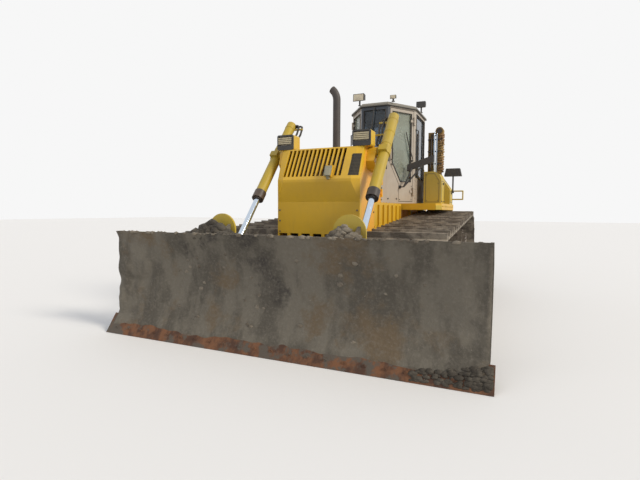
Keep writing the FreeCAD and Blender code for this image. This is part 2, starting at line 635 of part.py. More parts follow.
def build_blade():
    inner = S.blade_width / 2 - S.blade_end_plate
    skin = cut("skin_ring", blade_roll("skin_outer", S.blade_skin, inner), [blade_roll("skin_inner", 0, inner)])
    window = block("skin_window", (-inner, inner), (back(0), back(S.blade_radius)), (S.edge_height, S.blade_height))
    keep("moldboard", overlap("skin", skin, window))

    slope, foot = build_edges()
    lower = slab("lower_beam", "YZ", [
        (back(foot + slope * (S.beam_low - S.blade_ground)), S.beam_low),
        (back(S.beam_back - S.beam_low), S.beam_low),
        (back(S.beam_back), S.beam_low * 2),
        (back(S.beam_back), S.beam_high),
        (back(foot + slope * edge_drop), S.beam_high),
        (back(foot + slope * edge_drop), S.edge_height),
    ], -inner, inner)
    upper = slab("upper_beam", "YZ", [
        (back(S.blade_top_back), S.top_beam_low),
        (back(S.top_beam_back), S.top_beam_low),
        (back(S.top_beam_back), S.top_beam_low + S.beam_low),
        (back(S.blade_top_back + S.blade_skin * 3), S.blade_height - S.blade_skin),
        (back(S.blade_top_back), S.blade_height - S.blade_skin),
    ], -inner, inner)
    pieces = [lower, upper]
    for number, share in enumerate((0.13, 0.5, 0.98)):
        pieces.append(slab("rib" + str(number), "YZ", [
            (back(S.blade_top_back), S.beam_high - 1),
            (back(S.beam_back), S.beam_high - 1),
            (back(S.top_beam_back), S.top_beam_low + 1),
            (back(S.blade_top_back), S.top_beam_low + 1),
        ], inner * share - S.rib_thick, inner * share))

    side = S.lift_spacing / 2
    eye = S.rod_eye_radius
    lug_outline = [
        (back(S.blade_top_back), S.rod_eye_high - eye * 2.4),
        (back(S.rod_eye_back), S.rod_eye_high - eye),
        (back(S.rod_eye_back + eye), S.rod_eye_high - eye / 2),
        (back(S.rod_eye_back + eye), S.rod_eye_high + eye / 2),
        (back(S.rod_eye_back), S.rod_eye_high + eye),
        (back(S.blade_top_back), S.rod_eye_high + eye * 2.4),
    ]
    lug_gap = S.rod_eye_width / 2 + S.lug_gap
    pieces += plate_pair("lug", lug_outline, side, lug_gap, S.lug_thick)
    cap = S.lug_thick * 0.6
    for name, start in (("in", side - lug_gap - S.lug_thick - cap), ("out", side + lug_gap + S.lug_thick)):
        pieces.append(round_bar("lug_cap_" + name, "X", eye * 0.7, (start, back(S.rod_eye_back), S.rod_eye_high), cap))

    gusset_outline = [
        (back(S.blade_top_back), S.top_beam_low + S.beam_low / 2),
        (back(S.top_beam_back - 1), S.top_beam_low + S.beam_low / 2),
        (back(S.guard_plate_back), S.guard_plate_low + 5),
        (back(S.guard_plate_back), S.guard_plate_high - S.guard_plate_width / 3),
        (back(S.blade_top_back + S.blade_skin * 3), S.blade_height - S.blade_skin),
        (back(S.blade_top_back), S.blade_height - S.blade_skin),
    ]
    pieces += plate_pair("gusset", gusset_outline, side, S.guard_plate_width / 4, S.rib_thick)

    half = S.arm_spacing / 2
    ear_outline = [
        (back(S.blade_top_back), S.brace_head_high - S.eye_radius * 2),
        (back(S.brace_head_back), S.brace_head_high - S.eye_radius),
        (back(S.brace_head_back + S.eye_radius), S.brace_head_high),
        (back(S.brace_head_back), S.brace_head_high + S.eye_radius),
        (back(S.blade_top_back), S.brace_head_high + S.eye_radius * 2),
    ]
    pieces += plate_pair("ear", ear_outline, half, S.eye_width / 2 + S.ear_gap, S.ear_thick)
    pin_half = S.eye_width / 2 + S.ear_gap + S.ear_thick
    start = (half - pin_half, back(S.brace_head_back), S.brace_head_high)
    pieces.append(round_bar("head_pin", "X", S.brace_pin, start, pin_half * 2))
    whole = fuse("stiffener_parts", pieces + [mirror(piece.Name + "_twin", piece) for piece in pieces[2:]])
    keep("blade_frame", cut("stiffener", whole, [blade_roll("stiffener_roll", S.blade_skin + S.seat_gap, inner + 1)]))

    socket_half = S.arm_width * 0.75
    sockets = []
    for name, side_x, play in (("socket_left", half, 1), ("socket_right", -half, S.ball_play)):
        centre = (side_x, back(S.ball_back), S.arm_pivot_high)
        housing = block(name + "_block", (side_x - socket_half, side_x + socket_half),
                        (back(S.beam_back) + S.seat_gap, centre[1] + S.ball_radius * 0.4),
                        (centre[2] - socket_half, centre[2] + socket_half))
        sockets.append(cut(name, housing, [ball(name + "_ball", S.ball_radius + play, centre)]))
    keep("ball_sockets", group("socket_pair", sockets))

    end = S.blade_width / 2
    plate = slab("end_plate", "YZ", [
        (back(blade_face(S.edge_height) + S.bit_thick * 2), S.edge_height + S.seat_gap),
        (back(S.beam_back), S.beam_high),
        (back(S.blade_top_back + S.blade_end_depth), S.top_beam_low),
        (back(S.blade_top_back + S.blade_skin * 3), S.blade_height),
        (back(0), S.blade_height),
        (back(0), S.edge_height + S.seat_gap),
    ], end - S.blade_end_plate + S.seat_gap, end)
    plate = cut("end_plate_curved", plate, [blade_roll("end_plate_roll", 0, end + 1)])
    keep("blade_end_plates", both_sides("end_plates", plate))

    half_plate = S.guard_plate_width / 2
    deep = (back(S.guard_plate_back + S.seat_gap), back(S.guard_plate_back + S.seat_gap + S.guard_plate_thick))
    side = S.lift_spacing / 2
    foot_plate = block("guard_foot", (side - half_plate, side + half_plate), deep,
                       (S.guard_plate_low, S.guard_plate_high - half_plate))
    arch = round_bar("guard_arch", "Y", half_plate, (side, deep[0], S.guard_plate_high - half_plate), S.guard_plate_thick)
    keep("rod_guards", both_sides("guard_plates", fuse("guard_plate", [foot_plate, arch])))


def build_arms():
    half = S.arm_spacing / 2
    high = S.arm_pivot_high
    pivot = back(S.arm_pivot_back)
    inner = half - S.arm_width / 2
    taper_start = back(S.ball_back + S.arm_height * 1.7)
    neck_end = back(S.ball_back + S.ball_radius * 2)
    side = slab("arm_side", "YZ", [
        (pivot, high - S.arm_height / 2),
        (pivot, high + S.arm_height / 2),
        (taper_start, high + S.arm_height / 2),
        (neck_end, high + S.ball_radius),
        (neck_end, high - S.ball_radius),
        (taper_start, high - S.arm_height / 2),
    ], inner, inner + S.arm_width)
    boss = round_bar("arm_boss", "X", S.arm_boss, (inner, pivot, high), S.arm_width)
    neck = round_bar("arm_neck", "Y", S.ball_radius * 0.62, (half, back(S.ball_back), high), S.ball_radius * 2 + 5)
    knob = ball("arm_ball", S.ball_radius, (half, back(S.ball_back), high))
    foot = back(S.brace_foot_back)
    eye = S.eye_radius
    ears = plate_pair("foot_ear", [
        (foot - eye * 1.5, high + S.arm_height / 2 - 1),
        (foot + eye * 1.5, high + S.arm_height / 2 - 1),
        (foot + eye * 0.7, S.brace_foot_high + eye * 0.8),
        (foot - eye * 0.7, S.brace_foot_high + eye * 0.8),
    ], half, S.eye_width / 2 + S.ear_gap, S.ear_thick)
    pin_half = S.eye_width / 2 + S.ear_gap + S.ear_thick
    pin = round_bar("foot_pin", "X", S.brace_pin, (half - pin_half, foot, S.brace_foot_high), pin_half * 2)
    pin_ball = ball("foot_ball", S.brace_ball, (half, foot, S.brace_foot_high))
    bore = round_bar("arm_bore", "X", S.trunnion_radius + S.pin_gap, (inner - 1, pivot, high), S.arm_width + 2)
    solid = fuse("arm_solid", [side, boss, neck, knob, pin, pin_ball] + ears)
    keep_pair("push_arm", cut("arm", solid, [bore]))


def build_braces():
    half = S.arm_spacing / 2
    foot = (back(S.brace_foot_back), S.brace_foot_high)
    head = (back(S.brace_head_back), S.brace_head_high)
    rise = head[1] - foot[1]
    run = head[0] - foot[0]
    length = root(run * run + rise * rise)
    eye = S.eye_radius

    def along(distance):
        """A point on the brace's line, this far from its foot."""
        return (foot[0] + run * distance / length, foot[1] + rise * distance / length)

    def disc(name, centre, radius, width):
        return round_bar(name, "X", radius, (half - width / 2, centre[0], centre[1]), width)

    def foot_eye(name):
        """Eye with a hollow for the pin's ball, and the hole that the pin passes through."""
        solid = disc(name + "_disc", foot, eye, S.eye_width)
        hollow = ball(name + "_hollow", S.brace_ball + S.eye_play, (half, foot[0], foot[1]))
        hole = disc(name + "_hole", foot, S.brace_pin + S.eye_play, S.eye_width * 2)
        return solid, [hollow, hole]

    def head_eye(name):
        solid = disc(name + "_disc", head, eye, S.eye_width)
        return solid, [disc(name + "_hole", head, S.brace_pin + S.head_play, S.eye_width * 2)]

    near = along(eye * 0.9)
    far = along(length - eye * 0.9)
    low_eye, low_holes = foot_eye("brace_foot")
    top_eye, top_holes = head_eye("brace_head")
    tube = leaning_bar("brace_tube", S.brace_radius, near, far, half)
    nut = leaning_bar("brace_nut", S.brace_radius * 1.3, along(length * 0.3), along(length * 0.55), half)
    keep("brace_left", cut("brace", fuse("brace_solid", [low_eye, top_eye, tube, nut]), low_holes + top_holes))

    barrel_end = length * 0.58
    low_eye, low_holes = foot_eye("tilt_foot")
    barrel = leaning_bar("tilt_tube", S.tilt_barrel_radius, along(eye * 1.3), along(barrel_end), half)
    neck = leaning_bar("tilt_neck", S.tilt_rod_radius, near, along(eye * 1.4), half)
    gland = leaning_bar("tilt_gland", S.tilt_barrel_radius * 1.12, along(barrel_end - eye), along(barrel_end), half)
    hollow = leaning_bar("tilt_bore", S.tilt_rod_radius + S.seat_gap, along(eye * 2.6), along(barrel_end + 5), half)
    solid = fuse("tilt_barrel_solid", [low_eye, barrel, neck, gland])
    keep("tilt_cylinder", mirror("tilt_barrel", cut("tilt_barrel_twin", solid, low_holes + [hollow])))

    top_eye, top_holes = head_eye("tilt_head")
    rod = leaning_bar("tilt_rod_bar", S.tilt_rod_radius, along(length * 0.28), far, half)
    keep("tilt_rod", mirror("tilt_rod_bar_eye", cut("tilt_rod_twin", fuse("tilt_rod_solid", [top_eye, rod]), top_holes)))


# Lift cylinders and the yokes that carry them

lift_side = S.lift_spacing / 2
lift_pin = (back(S.yoke_back), S.yoke_high)
lift_eye = (back(S.rod_eye_back), S.rod_eye_high)
lift_rise = lift_pin[1] - lift_eye[1]
lift_run = lift_pin[0] - lift_eye[0]
lift_length = root(lift_run * lift_run + lift_rise * lift_rise)


def from_pin(up, front=0):
    """A point this far up the cylinder from its pin, and this far in front of its line."""
    y = lift_pin[0] + (lift_run * up - lift_rise * front) / lift_length
    z = lift_pin[1] + (lift_rise * up + lift_run * front) / lift_length
    return (y, z)


def build_lift_cylinders():
    radius = S.barrel_radius
    low = -S.barrel_below
    high = S.barrel_above
    tube = leaning_bar("lift_tube", radius, from_pin(low), from_pin(high), lift_side)
    gland = leaning_bar("lift_gland", radius * 1.06, from_pin(low), from_pin(low + radius), lift_side)
    half_collar = radius * 0.7
    collar = leaning_bar("lift_collar", S.collar_radius, from_pin(-half_collar), from_pin(half_collar), lift_side)
    reach = S.collar_radius + S.swing_gap + S.yoke_wall
    stub = round_bar("lift_stub", "X", S.yoke_pin, (lift_side - reach, lift_pin[0], lift_pin[1]), reach)
    hollow = leaning_bar("lift_bore", S.rod_radius + S.seat_gap, from_pin(low - 5), from_pin(S.bore_above), lift_side)
    block_half = radius * 0.8
    front_block = slab("lift_block", "YZ", [
        from_pin(-half_collar, radius / 2),
        from_pin(-half_collar, radius * 1.42),
        from_pin(half_collar * 0.8, radius * 1.42),
        from_pin(half_collar * 0.8, radius / 2),
    ], lift_side - block_half, lift_side + block_half)
    pieces = [tube, gland, collar, stub, front_block]
    keep_pair("lift_cylinder", cut("lift_barrel", fuse("lift_barrel_solid", pieces), [hollow]))

    rod = leaning_bar("lift_rod_bar", S.rod_radius, from_pin(S.rod_length - lift_length), lift_eye, lift_side)
    start = (lift_side - S.rod_eye_width / 2, lift_eye[0], lift_eye[1])
    disc = round_bar("lift_eye", "X", S.rod_eye_radius, start, S.rod_eye_width)
    keep_pair("lift_rod", fuse("lift_rod_solid", [rod, disc]))


def build_yokes():
    """The pin's bearing on the guard's side and the bracket under it."""
    wall = S.mask_width / 2 + S.seat_gap
    inner_ear = lift_side - S.collar_radius - S.swing_gap
    ring = S.yoke_ring
    y, z = lift_pin
    disc = round_bar("yoke_disc", "X", ring, (wall, y, z), inner_ear - wall)
    bracket = slab("yoke_bracket", "YZ", [
        (y - ring, z),
        (y - ring * 1.6, z - ring * 1.6),
        (y - ring * 0.6, z - ring * 3),
        (y + ring * 2, z - ring * 3.4),
        (y + ring * 3, z - ring * 2.4),
        (y + ring * 3, z - ring * 0.6),
        (y + ring * 0.8, z + ring * 0.4),
    ], wall, inner_ear - S.swing_gap)
    hole = round_bar("yoke_hole", "X", S.yoke_pin + S.pin_gap, (wall - 1, y, z), inner_ear - wall + 2)
    keep_pair("cylinder_yoke", cut("yoke", fuse("yoke_solid", [disc, bracket]), [hole]))


# Tracks

def track_centres():
    """Middles of the idler, the sprocket and the end of the level run, in that order."""
    low = float(S.axle_high)
    return [
        V(0, float(back(S.idler_back)), low),
        V(0, float(back(S.sprocket_back)), low + float(S.sprocket_lift)),
        V(0, float(back(S.level_end_back)), low),
    ]


def outward_of(direction):
    return V(0, -direction.z, direction.y)


def walk_path():
    """Straight runs and arcs of the pitch line, from above the idler rearwards round the track."""
    centres = track_centres()
    radius = float(S.chain_radius)
    legs = []
    for k in range(3):
        along = (centres[(k + 1) % 3] - centres[k]).normalize()
        legs.append((centres[k], centres[(k + 1) % 3], along, outward_of(along)))
    pieces = []
    for k, (here, there, along, outward) in enumerate(legs):
        pieces.append(("run", here + outward * radius, along, outward, (there - here).Length))
        bend = math.acos(max(-1.0, min(1.0, outward.dot(legs[(k + 1) % 3][3]))))
        pieces.append(("arc", there, along, outward, radius * bend))
    return pieces, radius


def path_point(distance, pieces, radius):
    """Point of the pitch line at a distance along it, with the outward direction and the way ahead."""
    for kind, base, along, outward, length in pieces:
        if distance <= length:
            if kind == "run":
                return base + along * distance, outward, along
            bend = distance / radius
            facing = outward * math.cos(bend) + along * math.sin(bend)
            ahead = along * math.cos(bend) - outward * math.sin(bend)
            return base + facing * radius, facing, ahead
        distance -= length
    return path_point(0, pieces, radius)


def band(offset):
    """Closed wire parallel to the pitch line."""
    centres = track_centres()
    radius = float(S.chain_radius) + offset
    edges = []
    for k in range(3):
        here, there = centres[k], centres[(k + 1) % 3]
        outward = outward_of((there - here).normalize())
        next_outward = outward_of((centres[(k + 2) % 3] - there).normalize())
        end = there + outward * radius
        middle = there + (outward + next_outward).normalize() * radius
        edges.append(Part.LineSegment(here + outward * radius, end).toShape())
        edges.append(Part.Arc(end, middle, there + next_outward * radius).toShape())
    return Part.Wire(edges)


def build_track():
    pieces, radius = walk_path()
    count = int(S.shoe_count.value)
    pitch = sum(piece[4] for piece in pieces) / count
    base = float(S.link_rise)
    plate = base + float(S.shoe_thick)
    tip = plate + float(S.grouser)
    # one shoe: place along the shoe as a share of the pitch, and height above the pitch line
    profile = [
        (-0.48, base), (-0.48, plate), (0.12, plate), (0.19, tip),
        (0.28, tip), (0.36, plate), (0.48, plate), (0.48, base),
    ]
    corners = []
    for number in range(count):
        centre, outward, ahead = path_point((number + 0.5) * pitch, pieces, radius)
        for share, rise in profile:
            corner = centre + ahead * (share * pitch) + outward * rise
            corner.z = max(corner.z, 0.0)  # tips that turn onto the idler are worn level with the ground
            corners.append(corner)
    corners.append(corners[0])
    wide = float(S.shoe_width)
    middle = float(S.track_gauge) / 2
    outer = Part.Face(Part.makePolygon(corners)).extrude(V(wide, 0, 0))
    outer.translate(V(middle - wide / 2, 0, 0))
    hollow = Part.Face(band(base - 4)).extrude(V(wide + 2, 0, 0))
    hollow.translate(V(middle - wide / 2 - 1, 0, 0))
    rows = []
    link = float(S.link_width)
    inner_edge = float(S.link_apart) / 2
    for start in (middle - inner_edge - link, middle + inner_edge):
        ring = Part.Face(band(base - 3)).extrude(V(link, 0, 0))
        row = ring.cut(Part.Face(band(-float(S.rail_depth))).extrude(V(link, 0, 0)))
        row.translate(V(start, 0, 0))
        rows.append(row)
    return outer.cut(hollow).fuse(rows)


def build_tracks():
    shape = build_track()
    for name, side in (("track_left", shape), ("track_right", shape.mirror(V(0, 0, 0), V(1, 0, 0)))):
        track = doc.addObject("Part::Feature", name)
        track.Shape = side
        keep(name, track)


# Running gear: wheels and beams share these places

middle_x = S.track_gauge / 2
rail_radius = S.chain_radius - S.rail_depth - S.seat_gap
tread_half = S.link_apart / 2 + S.link_width
flange_half = S.link_apart / 2 - S.swing_gap
beam_half = S.frame_beam_width / 2
beam_inner = beam_half - S.frame_wall
idler_y = back(S.idler_back)
sprocket_y = back(S.sprocket_back)
sprocket_z = S.axle_high + S.sprocket_lift


def across(name, radius, y, z, half_width):
    """A round bar across the track, centred on its middle."""
    return round_bar(name, "X", radius, (middle_x - half_width, y, z), half_width * 2)


def wheel(name, radius, flange, y, z, hub_half):
    tread = across(name + "_tread", radius, y, z, tread_half)
    rim = across(name + "_rim", flange, y, z, flange_half)
    hub = across(name + "_hub", radius * 0.38, y, z, hub_half)
    return fuse(name, [tread, rim, hub])


def sprocket_plate():
    """The toothed plate, cut from a polygon."""
    teeth = int(S.sprocket_teeth.value)
    outer = float(S.chain_radius + S.shoe_thick)
    inner = outer - float(S.tooth_depth)
    step = 2 * math.pi / teeth
    corners = []
    for tooth in range(teeth):
        for share, reach in ((0.0, inner), (0.30, inner), (0.46, outer), (0.70, outer), (0.86, inner)):
            bend = (tooth + share) * step
            y = float(sprocket_y) + reach * math.cos(bend)
            corners.append(V(float(middle_x - flange_half), y, float(sprocket_z) + reach * math.sin(bend)))
    corners.append(corners[0])
    plate = doc.addObject("Part::Feature", "sprocket_wheel")
    plate.Shape = Part.Face(Part.makePolygon(corners)).extrude(V(float(flange_half * 2), 0, 0))
    return plate


def build_wheels():
    idler = wheel("idler", rail_radius, rail_radius + S.rail_depth * 0.6, idler_y, S.axle_high, beam_inner - S.seat_gap)
    ring_hollows = []
    for name, start in (("left", middle_x + tread_half - S.link_width), ("right", middle_x - tread_half - 1)):
        dish = round_bar("idler_dish_" + name, "X", rail_radius * 0.8, (start, idler_y, S.axle_high), S.link_width + 1)
        core = round_bar("idler_core_" + name, "X", rail_radius * 0.4, (start - 1, idler_y, S.axle_high), S.link_width + 3)
        ring_hollows.append(cut("idler_ring_" + name, dish, [core]))
    keep("idlers", both_sides("idler_pair", cut("idler_dished", idler, ring_hollows)))

    low_rail = S.axle_high - (S.chain_radius - S.rail_depth) + S.seat_gap
    spread = (S.level_end_back - S.first_roller_back) / (S.roller_count - 1)
    rollers = []
    for number in range(int(S.roller_count.value)):
        y = back(S.first_roller_back + spread * number)
        rollers.append(wheel("roller" + str(number), S.roller_radius, S.roller_radius * 1.22, y,
                             low_rail + S.roller_radius, beam_inner - S.seat_gap))
    keep("track_rollers", both_sides("roller_rows", group("roller_row", rollers)))

    carriers = []
    top_slope = S.sprocket_lift / S.wheelbase
    steep = root(1 + top_slope * top_slope)
    for number, share in enumerate((0.33, 0.68)):
        run = S.wheelbase * share
        y = idler_y + run
        z = S.axle_high + top_slope * run + (rail_radius - S.carrier_radius) * steep
        carrier = wheel("carrier" + str(number), S.carrier_radius, S.carrier_radius * 1.2, y, z, tread_half)
        post = block("carrier_post" + str(number), (middle_x - flange_half, middle_x + flange_half),
                     (y - S.carrier_radius / 2, y + S.carrier_radius / 2), (S.frame_beam_high + S.seat_gap, z))
        carriers.append(fuse("carrier_unit" + str(number), [carrier, post]))
    keep("carrier_rollers", both_sides("carrier_rows", group("carrier_row", carriers)))

    start = (middle_x + flange_half, sprocket_y, sprocket_z)
    hub = round_bar("sprocket_hub", "X", S.chain_radius * 0.55, start, S.shoe_width * 0.28)
    cover = round_bar("sprocket_cover", "X", S.chain_radius * 0.4, start, S.shoe_width * 0.34)
    keep("sprockets", both_sides("sprocket_pair", fuse("sprocket_solid", [sprocket_plate(), hub, cover])))

    start = (S.hull_width / 2 + S.seat_gap, sprocket_y, sprocket_z)
    case = round_bar("drive_case", "X", S.chain_radius * 0.72, start, middle_x - flange_half - S.seat_gap - start[0])
    keep("final_drives", both_sides("drive_pair", case))


def build_track_frames():
    start = idler_y - S.ball_radius
    end = back(S.level_end_back) + S.roller_radius * 1.4
    nose = S.roller_radius
    shell = slab("beam_shell", "YZ", [
        (start, S.axle_high - S.ball_radius * 2),
        (back(S.first_roller_back) - nose * 2.2, S.frame_beam_low + nose * 0.8),
        (back(S.first_roller_back) - nose * 1.4, S.frame_beam_low),
        (end, S.frame_beam_low),
        (end + nose / 2, S.frame_beam_low + nose),
        (end, S.frame_beam_high - nose),
        (end - nose, S.frame_beam_high),
        (start + S.chain_radius * 1.3, S.frame_beam_high),
        (start, S.axle_high + S.ball_radius * 1.2),
    ], middle_x - beam_half, middle_x + beam_half)
    sides = (middle_x - beam_inner, middle_x + beam_inner)
    inside = block("beam_inside", sides, (start - 5, end + nose * 2), (0, S.frame_beam_high - S.frame_wall))
    mouth = block("beam_mouth", sides, (start - 5, idler_y + S.chain_radius), (0, S.axle_high + S.chain_radius))
    tooth_room = across("tooth_room", S.chain_radius + S.shoe_thick + S.swing_gap, sprocket_y, sprocket_z,
                        flange_half + S.swing_gap)
    hub_room = across("hub_room", S.chain_radius * 0.72 + S.swing_gap, sprocket_y, sprocket_z, S.shoe_width / 2)
    pin_y = back(S.arm_pivot_back)
    beam_side = middle_x + beam_half - 1
    arm_outer = S.arm_spacing / 2 + S.arm_width / 2
    arm_inner = arm_outer - S.arm_width
    play = S.swing_gap / 4
    trunnion = round_bar("trunnion", "X", S.trunnion_radius, (beam_side, pin_y, S.arm_pivot_high),
                         arm_outer + S.swing_gap - beam_side)
    washer = round_bar("trunnion_cap", "X", S.trunnion_radius * 1.5, (arm_outer + play, pin_y, S.arm_pivot_high),
                       S.ear_thick)
    collar = round_bar("trunnion_collar", "X", S.trunnion_radius * 1.6, (beam_side, pin_y, S.arm_pivot_high),
                       arm_inner - play - beam_side)
    channel = cut("beam_channel", shell, [inside, mouth, tooth_room, hub_room])
    keep_pair("track_frame", fuse("track_beam", [channel, trunnion, washer, collar]))


def build_hull():
    half = S.hull_width / 2
    front = back(S.hull_front_back)
    rear = back(S.hull_rear_back)
    step = back(S.guard_rear_back) + S.seat_gap
    shelf = S.mask_low - S.seat_gap
    hull = slab("hull_box", "YZ", [
        (front, S.hull_low + S.hull_width * 0.25),
        (front + S.hull_width * 0.3, S.hull_low),
        (rear - S.hull_width * 0.2, S.hull_low),
        (rear, S.hull_low + S.hull_width * 0.2),
        (rear, S.hull_high),
        (step, S.hull_high),
        (step, shelf),
        (front, shelf),
    ], -half, half)
    mask_half = S.mask_width / 2
    bolster = block("hull_bolster", (-mask_half, mask_half), (front, step), (shelf - S.bolster_height, shelf))
    reach = middle_x - beam_half - S.seat_gap
    bar_y = idler_y + S.equalizer_behind
    bar_z = S.hull_low + S.roller_radius / 3
    bar = block("equalizer_bar", (-reach, reach), (bar_y - S.equalizer_length / 2, bar_y + S.equalizer_length / 2),
                (bar_z, bar_z + S.equalizer_height))
    start = (-reach, sprocket_y - S.pivot_ahead, S.hull_low + S.pivot_radius)
    shaft = round_bar("pivot_shaft", "X", S.pivot_radius, start, reach * 2)
    winch_holes = []
    for number, (side, up) in enumerate(((-1, -1), (-1, 1), (1, -1), (1, 1))):
        start = (S.winch_wide / 2 * side, rear - S.winch_depth, S.winch_high + S.winch_tall / 2 * up)
        winch_holes.append(round_bar("winch_hole" + str(number), "Y", S.winch_hole, start, S.winch_depth + 1))
    keep("main_frame", cut("hull", fuse("hull_solid", [hull, bolster, bar, shaft]), winch_holes))

    wide = S.drawbar_half
    end = back(S.overall_length)
    tongue = slab("drawbar_tongue", "XY", [
        (-wide, rear + S.seat_gap),
        (wide, rear + S.seat_gap),
        (wide, end - S.drawbar_corner),
        (wide * 0.6, end),
        (-wide * 0.6, end),
        (-wide, end - S.drawbar_corner),
    ], S.drawbar_low, S.drawbar_low + S.drawbar_thick)
    hole = round_bar("drawbar_hole", "Z", S.drawbar_hole, (0, end - S.drawbar_hole_inset, S.drawbar_low - 1),
                     S.drawbar_thick + 2)
    keep("drawbar", cut("drawbar_solid", tongue, [hole]))


# Front: mask, radiator, hood and lamps

def hinge(name, axis, rearward, level):
    """A hinge with an upright pin: its fixed half reaches rearward (a plan direction), its leaf the other way."""
    knuckle = S.hinge_knuckle
    third = S.hinge_height / 3
    side = (rearward[1], -rearward[0])

    def leaf(part, ahead, behind, low, high):
        def point(a, n):
            return (axis[0] + rearward[0] * a + side[0] * n, axis[1] + rearward[1] * a + side[1] * n)
        inner = -knuckle - 1
        outer = -knuckle * 0.3
        corners = [point(ahead, inner), point(ahead, outer), point(behind, outer), point(behind, inner)]
        return slab(name + part, "XY", corners, low, high)

    def disc(part, radius, low, high):
        return round_bar(name + part, "Z", radius, (axis[0], axis[1], low), high - low)

    top = level + S.hinge_height
    fixed = [disc("_pin", S.hinge_pin, level, top)]
    for part, low in (("_low", level), ("_high", level + third * 2)):
        fixed.append(disc(part + "_ring", knuckle, low, low + third))
        fixed.append(leaf(part + "_leaf", as_size(0), knuckle * 2.6, low, low + third))
    middle_low = level + third + S.seat_gap
    middle_high = level + third * 2 - S.seat_gap
    tube = disc("_tube", knuckle, middle_low, middle_high)
    arm = leaf("_arm", -knuckle * 4, as_size(0), middle_low, middle_high)
    hole = disc("_bore", S.hinge_pin + S.pin_gap, level, top)
    return fuse(name + "_fixed", fixed), cut(name + "_moving", fuse(name + "_leaf", [tube, arm]), [hole])


mask_half = S.mask_width / 2
nose_low = S.mask_back - S.mask_nose
nose_top = nose_low + S.mask_lean
lip_top = S.mask_lip + S.mask_lip_height
guard_rear = back(S.guard_rear_back)


def mask_outline(half, nose, nose_back, side_back, rear_back):
    """Plan of the mask at one level, from its right rear corner round the nose to the left one."""
    return [
        (-half, back(rear_back)),
        (-half, back(side_back)),
        (-nose, back(nose_back)),
        (nose, back(nose_back)),
        (half, back(side_back)),
        (half, back(rear_back)),
    ]


def mask_sections(inset, low, high, rear_more):
    """Outlines of the mask, each moved inwards by the inset."""
    half = mask_half - inset
    corner = S.seat_gap * 5
    share = (S.mask_high - high) / (S.mask_high - lip_top)
    foot = S.mask_back + inset
    foot_rear = S.mask_back + S.mask_return + rear_more
    top_rear = foot_rear + S.mask_side_lean * (1 - share)
    lip_nose = mask_half - S.mask_facet - inset * 0.4
    top_nose = mask_half - S.mask_facet_top - (S.mask_facet - S.mask_facet_top) * share - inset * 0.4
    return [
        (low, mask_outline(half, half - corner, foot, foot + corner, foot_rear)),
        (S.mask_fold, mask_outline(half, half - corner, foot, foot + corner, foot_rear)),
        (S.mask_lip, mask_outline(half, lip_nose, nose_low + inset, foot, foot_rear)),
        (lip_top, mask_outline(half, lip_nose, nose_low + inset, foot, foot_rear)),
        (high, mask_outline(half, top_nose, nose_top - S.mask_lean * share + inset,
                            foot + S.mask_side_lean * (1 - share), top_rear)),
    ]


